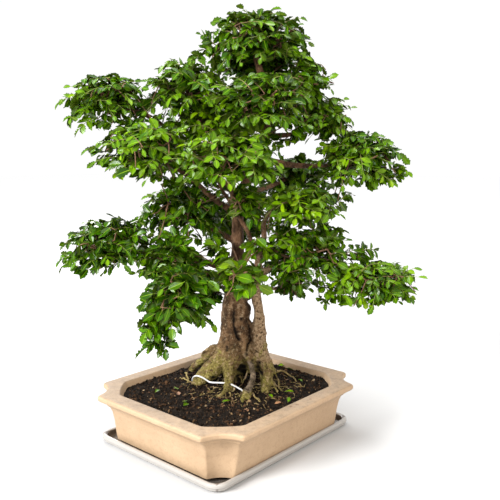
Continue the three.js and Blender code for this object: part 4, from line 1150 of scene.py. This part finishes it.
def branchlets(draw, at, half):
    """Small branches that fork from a branch's end through its pad."""
    start = in_tree(np.array(at, float) - [0, 0, 8])[0]
    angles = draw.uniform(1.15, 1.55, BRANCHLETS)
    turns = 2 * math.pi * (np.arange(BRANCHLETS) + draw.uniform(-0.3, 0.3, BRANCHLETS)) / BRANCHLETS
    ends = on_pad(np.array(at, float), half, turned(angles, turns), np.full(BRANCHLETS, 0.6))
    top = on_pad(np.array(at, float), half, turned(np.array([0.3]), turns[:1]), np.array([0.6]))
    lines = []
    for end in np.vstack([ends, top]):
        middle = (start + end) / 2 + draw.normal(0, 4, 3) + [0, 0, 3]
        lines.append(catmull([start, middle, end], BRANCHLET_STEPS))
    return lines


def twigs_of(draw, at, half, lines):
    """Tubes for a pad's branchlets and for the shoots that stand on them, each with its youth."""
    main = branchlets(draw, at, half)
    parts = [tube(line, np.linspace(*BRANCHLET_RADII, BRANCHLET_STEPS), BRANCHLET_SIDES) for line in main]
    young = [np.zeros(len(points)) for points, _ in parts]
    bearers = np.vstack([line[3:] for line in main])
    for line in lines:
        start = bearers[np.argmin(np.sum((bearers - line[0]) ** 2, axis=1))]
        middle = (start + line[0]) / 2 + draw.normal(0, 2, 3)
        path = catmull([start, middle, *line], TWIG_STEPS)
        parts.append(tube(path, np.linspace(*TWIG_RADII, TWIG_STEPS), TWIG_SIDES))
        young.append(np.append(np.repeat(np.linspace(0, 1, TWIG_STEPS), TWIG_SIDES), [0, 1]))
    return parts, young


def hides_limb(middles):
    """Whether each leaf's middle would hide one of the limbs that show between the pads."""
    c, s = math.cos(TREE_TURN), math.sin(TREE_TURN)
    turn = np.array([[c, s], [-s, c]])
    across, away = turn @ middles[:, :2].T
    hides = np.zeros(len(middles), bool)
    for line, reach in OPEN_LIMBS:
        for r, t, z in catmull(line, 24):
            nearer = (t - VIEWPOINT[1]) / (away - VIEWPOINT[1])
            height = VIEWPOINT[2] + (middles[:, 2] - VIEWPOINT[2]) * nearer
            seen = np.hypot(across * nearer - r, height - z)
            hides |= (seen < reach) & (away < t)
    return hides


def make_foliage(draw):
    look = leaf_look()
    twigs, greens = [], []
    for name, at, half in PADS:
        outer = spread(draw, at, half, SHOOT_SPACING, 1.0)
        inner = spread(draw, at, half, INNER_SPACING, INNER_SURFACE)
        lines = [shoots(draw, at, half, *outer, 1.0), shoots(draw, at, half, *inner, INNER_DEPTH)]
        centre = in_tree([at[0], at[1], at[2] - half[2] * 0.5])[0]
        bright = BRIGHT.get(name, USUAL_YOUTH)
        lines.append(shoots_at(draw, STRAYS.get(name, [])))
        size = SIZES.get(name, 1)
        rows = np.vstack([
            leaves_on(draw, group, centre, bright - age_and_shade, size, 1 - 2 * age_and_shade)
            for group, age_and_shade in zip(lines, AGE_AND_PAINTED_SHADE) if len(group)
        ])
        hides = hides_limb(rows[:, 0:3] + rows[:, 3:6] * rows[:, 9:10] * 0.5)
        rows = rows[~hides | (draw.random(len(rows)) < HIDING_SHARE)]
        split = [rows[:, 0:3], unit(rows[:, 3:6]), unit(rows[:, 6:9]), *rows[:, 9:].T]
        piece = leaf_mesh("foliage_" + name, look, split)
        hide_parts("leaves_" + name)
        parts, young = twigs_of(draw, at, half, np.vstack(lines))
        twigs += parts
        greens += young
    piece = new_mesh("twigs", *joined(twigs), twig_look())
    point_values(piece.data, "young", np.concatenate(greens))
    return look


# Leaves fallen on the soil: place [r, t] and whether it has dried
FALLEN = [
    (-109, 90, 0), (-120, -20, 0), (-88, -8, 0), (-70, -71, 0), (-62, -84, 0), (3, -74, 0), (56, -32, 0),
    (67, -46, 0), (95, -75, 0), (129, 23, 0), (128, 50, 0), (94, 110, 0), (120, 90, 0), (94, -33, 0),
    (-82, -27, 1), (84, -75, 1), (30, -110, 1), (-30, -90, 1), (100, 20, 1),
]


FALLEN_LIFT = 1.8 # over the soil
FALLEN_LENGTHS = (11, 18)


def make_fallen(draw, look):
    for dried, name in ((0, "fallen_leaves"), (1, "dry_leaves")):
        places = np.array([[r, t, 0] for r, t, dry in FALLEN if dry == dried], float)
        at = in_tree(places)
        at[:, 2] = soil_height(at) + FALLEN_LIFT
        count = len(at)
        turn = draw.uniform(0, 2 * math.pi, count)
        along = unit(np.stack([np.cos(turn), np.sin(turn), draw.uniform(-0.1, 0.25, count)], axis=1))
        tilt = draw.normal(0, 0.25, (2, count))
        normal = unit(np.column_stack([*tilt, np.ones(count)]))
        long = draw.uniform(*FALLEN_LENGTHS, count)
        young = draw.uniform(0.5, 1.0, count)
        leaves = (at, along, normal, long, long * 0.55, draw.uniform(0.1, 0.5, count),
                  draw.uniform(-0.2, 0.25, count), draw.normal(0, 0.04, count), draw.random(count), young)
        piece = leaf_mesh(name, dry_look() if dried else look, leaves)


def dry_look():
    look = Look("dry_leaf", 0.7)
    look.colour(look.ramp(look.noise(240, 4), (0.3, (0.13, 0.055, 0.025)), (0.7, (0.38, 0.19, 0.085))))
    look.bump(look.noise(500, 3), 0.4, 0.0005)
    return look.material


# Fine roots at the ends of the thick ones: points [r, t, z] of each
FINE_ROOTS = [
    [[0, -33, 88], [-11, -41, 81], [-19, -59, 81], [-27, -69, 80], [-36, -78, 79]],
    [[3, -37, 86], [3, -59, 81], [-3, -74, 80]],
    [[10, -29, 88], [8, -40, 82], [6, -57, 80]],
    [[-10, -48, 82], [-27, -62, 80], [-39, -77, 80], [-45, -94, 79]],
    [[-3, -69, 80], [-9, -82, 80], [1, -94, 80], [12, -104, 79]],
    [[26, -43, 88], [18, -54, 82], [11, -70, 80]],
    [[33, -41, 89], [42, -55, 84], [51, -74, 81]],
    [[29, -52, 83], [35, -73, 81], [49, -84, 80]],
    [[24, -55, 84], [21, -73, 81], [23, -93, 79]],
    [[37, -46, 84], [33, -73, 81], [28, -97, 79]],
    [[-84, 40, 82], [-72, 21, 84], [-59, 3, 86]],
    [[-74, 54, 88], [-69, 33, 86], [-68, 17, 81]],
    [[77, 34, 104], [81, 22, 97], [85, 2, 88], [85, -19, 80]],
    [[85, 24, 100], [102, 43, 88], [117, 28, 82], [124, 1, 79]],
    [[72, 15, 96], [76, -2, 88], [88, -22, 81], [102, -31, 79]],
    [[33, 29, 108], [26, 21, 100], [19, 8, 92]],
    [[36, 13, 106], [27, -2, 92], [17, -17, 82]],
    [[23, 30, 106], [21, 18, 94], [25, -4, 82]],
    [[59, 22, 108], [55, 10, 98], [58, 0, 84]],
    [[-26, -54, 81], [-36, -42, 80], [-47, -48, 79]],
]


ROOTLETS, ROOTLET_STEPS = 150, 14
ROOTLET_HALF, ROOTLET_CORNER = (120, 140), 220 # the soil that they stay on
ROOTLET_RADII = (0.75, 0.3)
FINE_STEPS, FINE_RADII = 18, (1.7, 0.8)


def make_rootlets(draw, count=ROOTLETS):
    """Fine roots that fork from the thick ones, and finer ones that lie on the soil round them."""
    parts = []
    for line in FINE_ROOTS:
        path = catmull(in_tree(line), FINE_STEPS)
        sway = draw.normal(0, 1.1, (FINE_STEPS, 3))
        path = path + (sway + np.roll(sway, 1, 0) + np.roll(sway, 2, 0)) / 2
        parts.append(tube(path, np.linspace(*FINE_RADII, FINE_STEPS) * draw.uniform(0.8, 1.15), 5))
    for _ in range(count):
        turn, away = draw.uniform(0, 2 * math.pi), draw.uniform(18, 95)
        start = in_tree([25 + away * math.cos(turn), 8 + away * math.sin(turn), 0])[0]
        heading = turn + TREE_TURN + draw.normal(0, 0.8)
        path = [start[:2]]
        for _ in range(6):
            heading += draw.normal(0, 0.45)
            path.append(path[-1] + np.array([math.cos(heading), math.sin(heading)]) * draw.uniform(2, 6))
        path = catmull(np.array(path), ROOTLET_STEPS)
        away = np.abs(path)
        if not ((away < ROOTLET_HALF).all() and (away.sum(axis=1) < ROOTLET_CORNER).all()):
            continue
        arch = 1.2 * np.sin(np.linspace(0, math.pi, ROOTLET_STEPS)) * draw.random()
        height = soil_height(path) + 0.4 + arch
        radii = np.linspace(*ROOTLET_RADII, ROOTLET_STEPS) * draw.uniform(0.6, 1.3)
        parts.append(tube(np.column_stack([path, height]), radii, 4))
    look = Look("rootlet", 0.8)
    look.colour(look.ramp(
        look.noise(70, 4), (0.35, (0.11, 0.060, 0.034)), (0.5, (0.24, 0.185, 0.060)),
        (0.65, (0.36, 0.26, 0.155))))
    look.specular(0.25)
    look.bump(look.noise(800, 2), 0.3, 0.0003)
    piece = new_mesh("rootlets", *joined(parts), look.material)


# Floor and light

FLOOR_REACH = 12
WORLD_LIGHT = 1.12
EXPOSURE = -0.13
LIT = (0, 0, 0.3) # where most lamps point


def make_stage():
    floor = bpy.data.meshes.new("floor")
    corners = [(x * FLOOR_REACH, y * FLOOR_REACH, 0) for x, y in ((-1, -1), (1, -1), (1, 1), (-1, 1))]
    floor.from_pydata(corners, [], [(0, 1, 2, 3)])
    piece = bpy.data.objects.new("floor", floor)
    bpy.context.collection.objects.link(piece)
    look = Look("pale_floor", 0.9)
    # The floor is painted darker near the pot, where the lamps light it most, and paler far off: painted
    # shade that evens out the lamps' pool of light
    painted_dim_near_lamps = look.mix(look.noise(3, 2), (0.49, 0.49, 0.49), (0.50, 0.50, 0.50))
    far = look.fade(look.near((0, 0, 0)), 0.9, 4.0)
    look.colour(look.mix(far, painted_dim_near_lamps, (0.97, 0.97, 0.97)))
    look.specular(0.0)
    floor.materials.append(look.material)


def area_light(name, at, towards, size, power, colour=(1, 1, 1)):
    light = bpy.data.lights.new(name, "AREA")
    light.shape = "DISK"
    light.size = size
    light.energy = power
    light.color = colour
    lamp = bpy.data.objects.new(name, light)
    lamp.location = at
    lamp.rotation_euler = (Vector(towards) - Vector(at)).to_track_quat("-Z", "Y").to_euler()
    bpy.context.collection.objects.link(lamp)


def make_light():
    world = bpy.data.worlds.new("studio")
    world.use_nodes = True
    background = world.node_tree.nodes["Background"]
    background.inputs["Color"].default_value = (1, 1, 1, 1)
    background.inputs["Strength"].default_value = WORLD_LIGHT
    bpy.context.scene.world = world
    area_light("key", (-0.5, -2.2, 1.25), LIT, 1.1, 131)
    area_light("fill", (2.2, -0.5, 1.1), LIT, 1.4, 34, (1, 0.9, 0.78))
    area_light("top", (0.2, 0.2, 2.6), LIT, 1.3, 56)
    area_light("rim", (-1.8, 0.8, 1.4), (0, 0, 0.4), 1.0, 30)
    bpy.context.scene.view_settings.view_transform = "Standard"
    bpy.context.scene.view_settings.exposure = EXPOSURE


draw = np.random.default_rng(SEED)
noise.seed_set(SEED)
make_saucer()
make_pot()
make_soil()
make_crumbs(draw)
make_wood(draw)
make_wire()
leaf_material = make_foliage(draw)
make_fallen(draw, leaf_material)
make_rootlets(draw)
make_stage()
make_light()
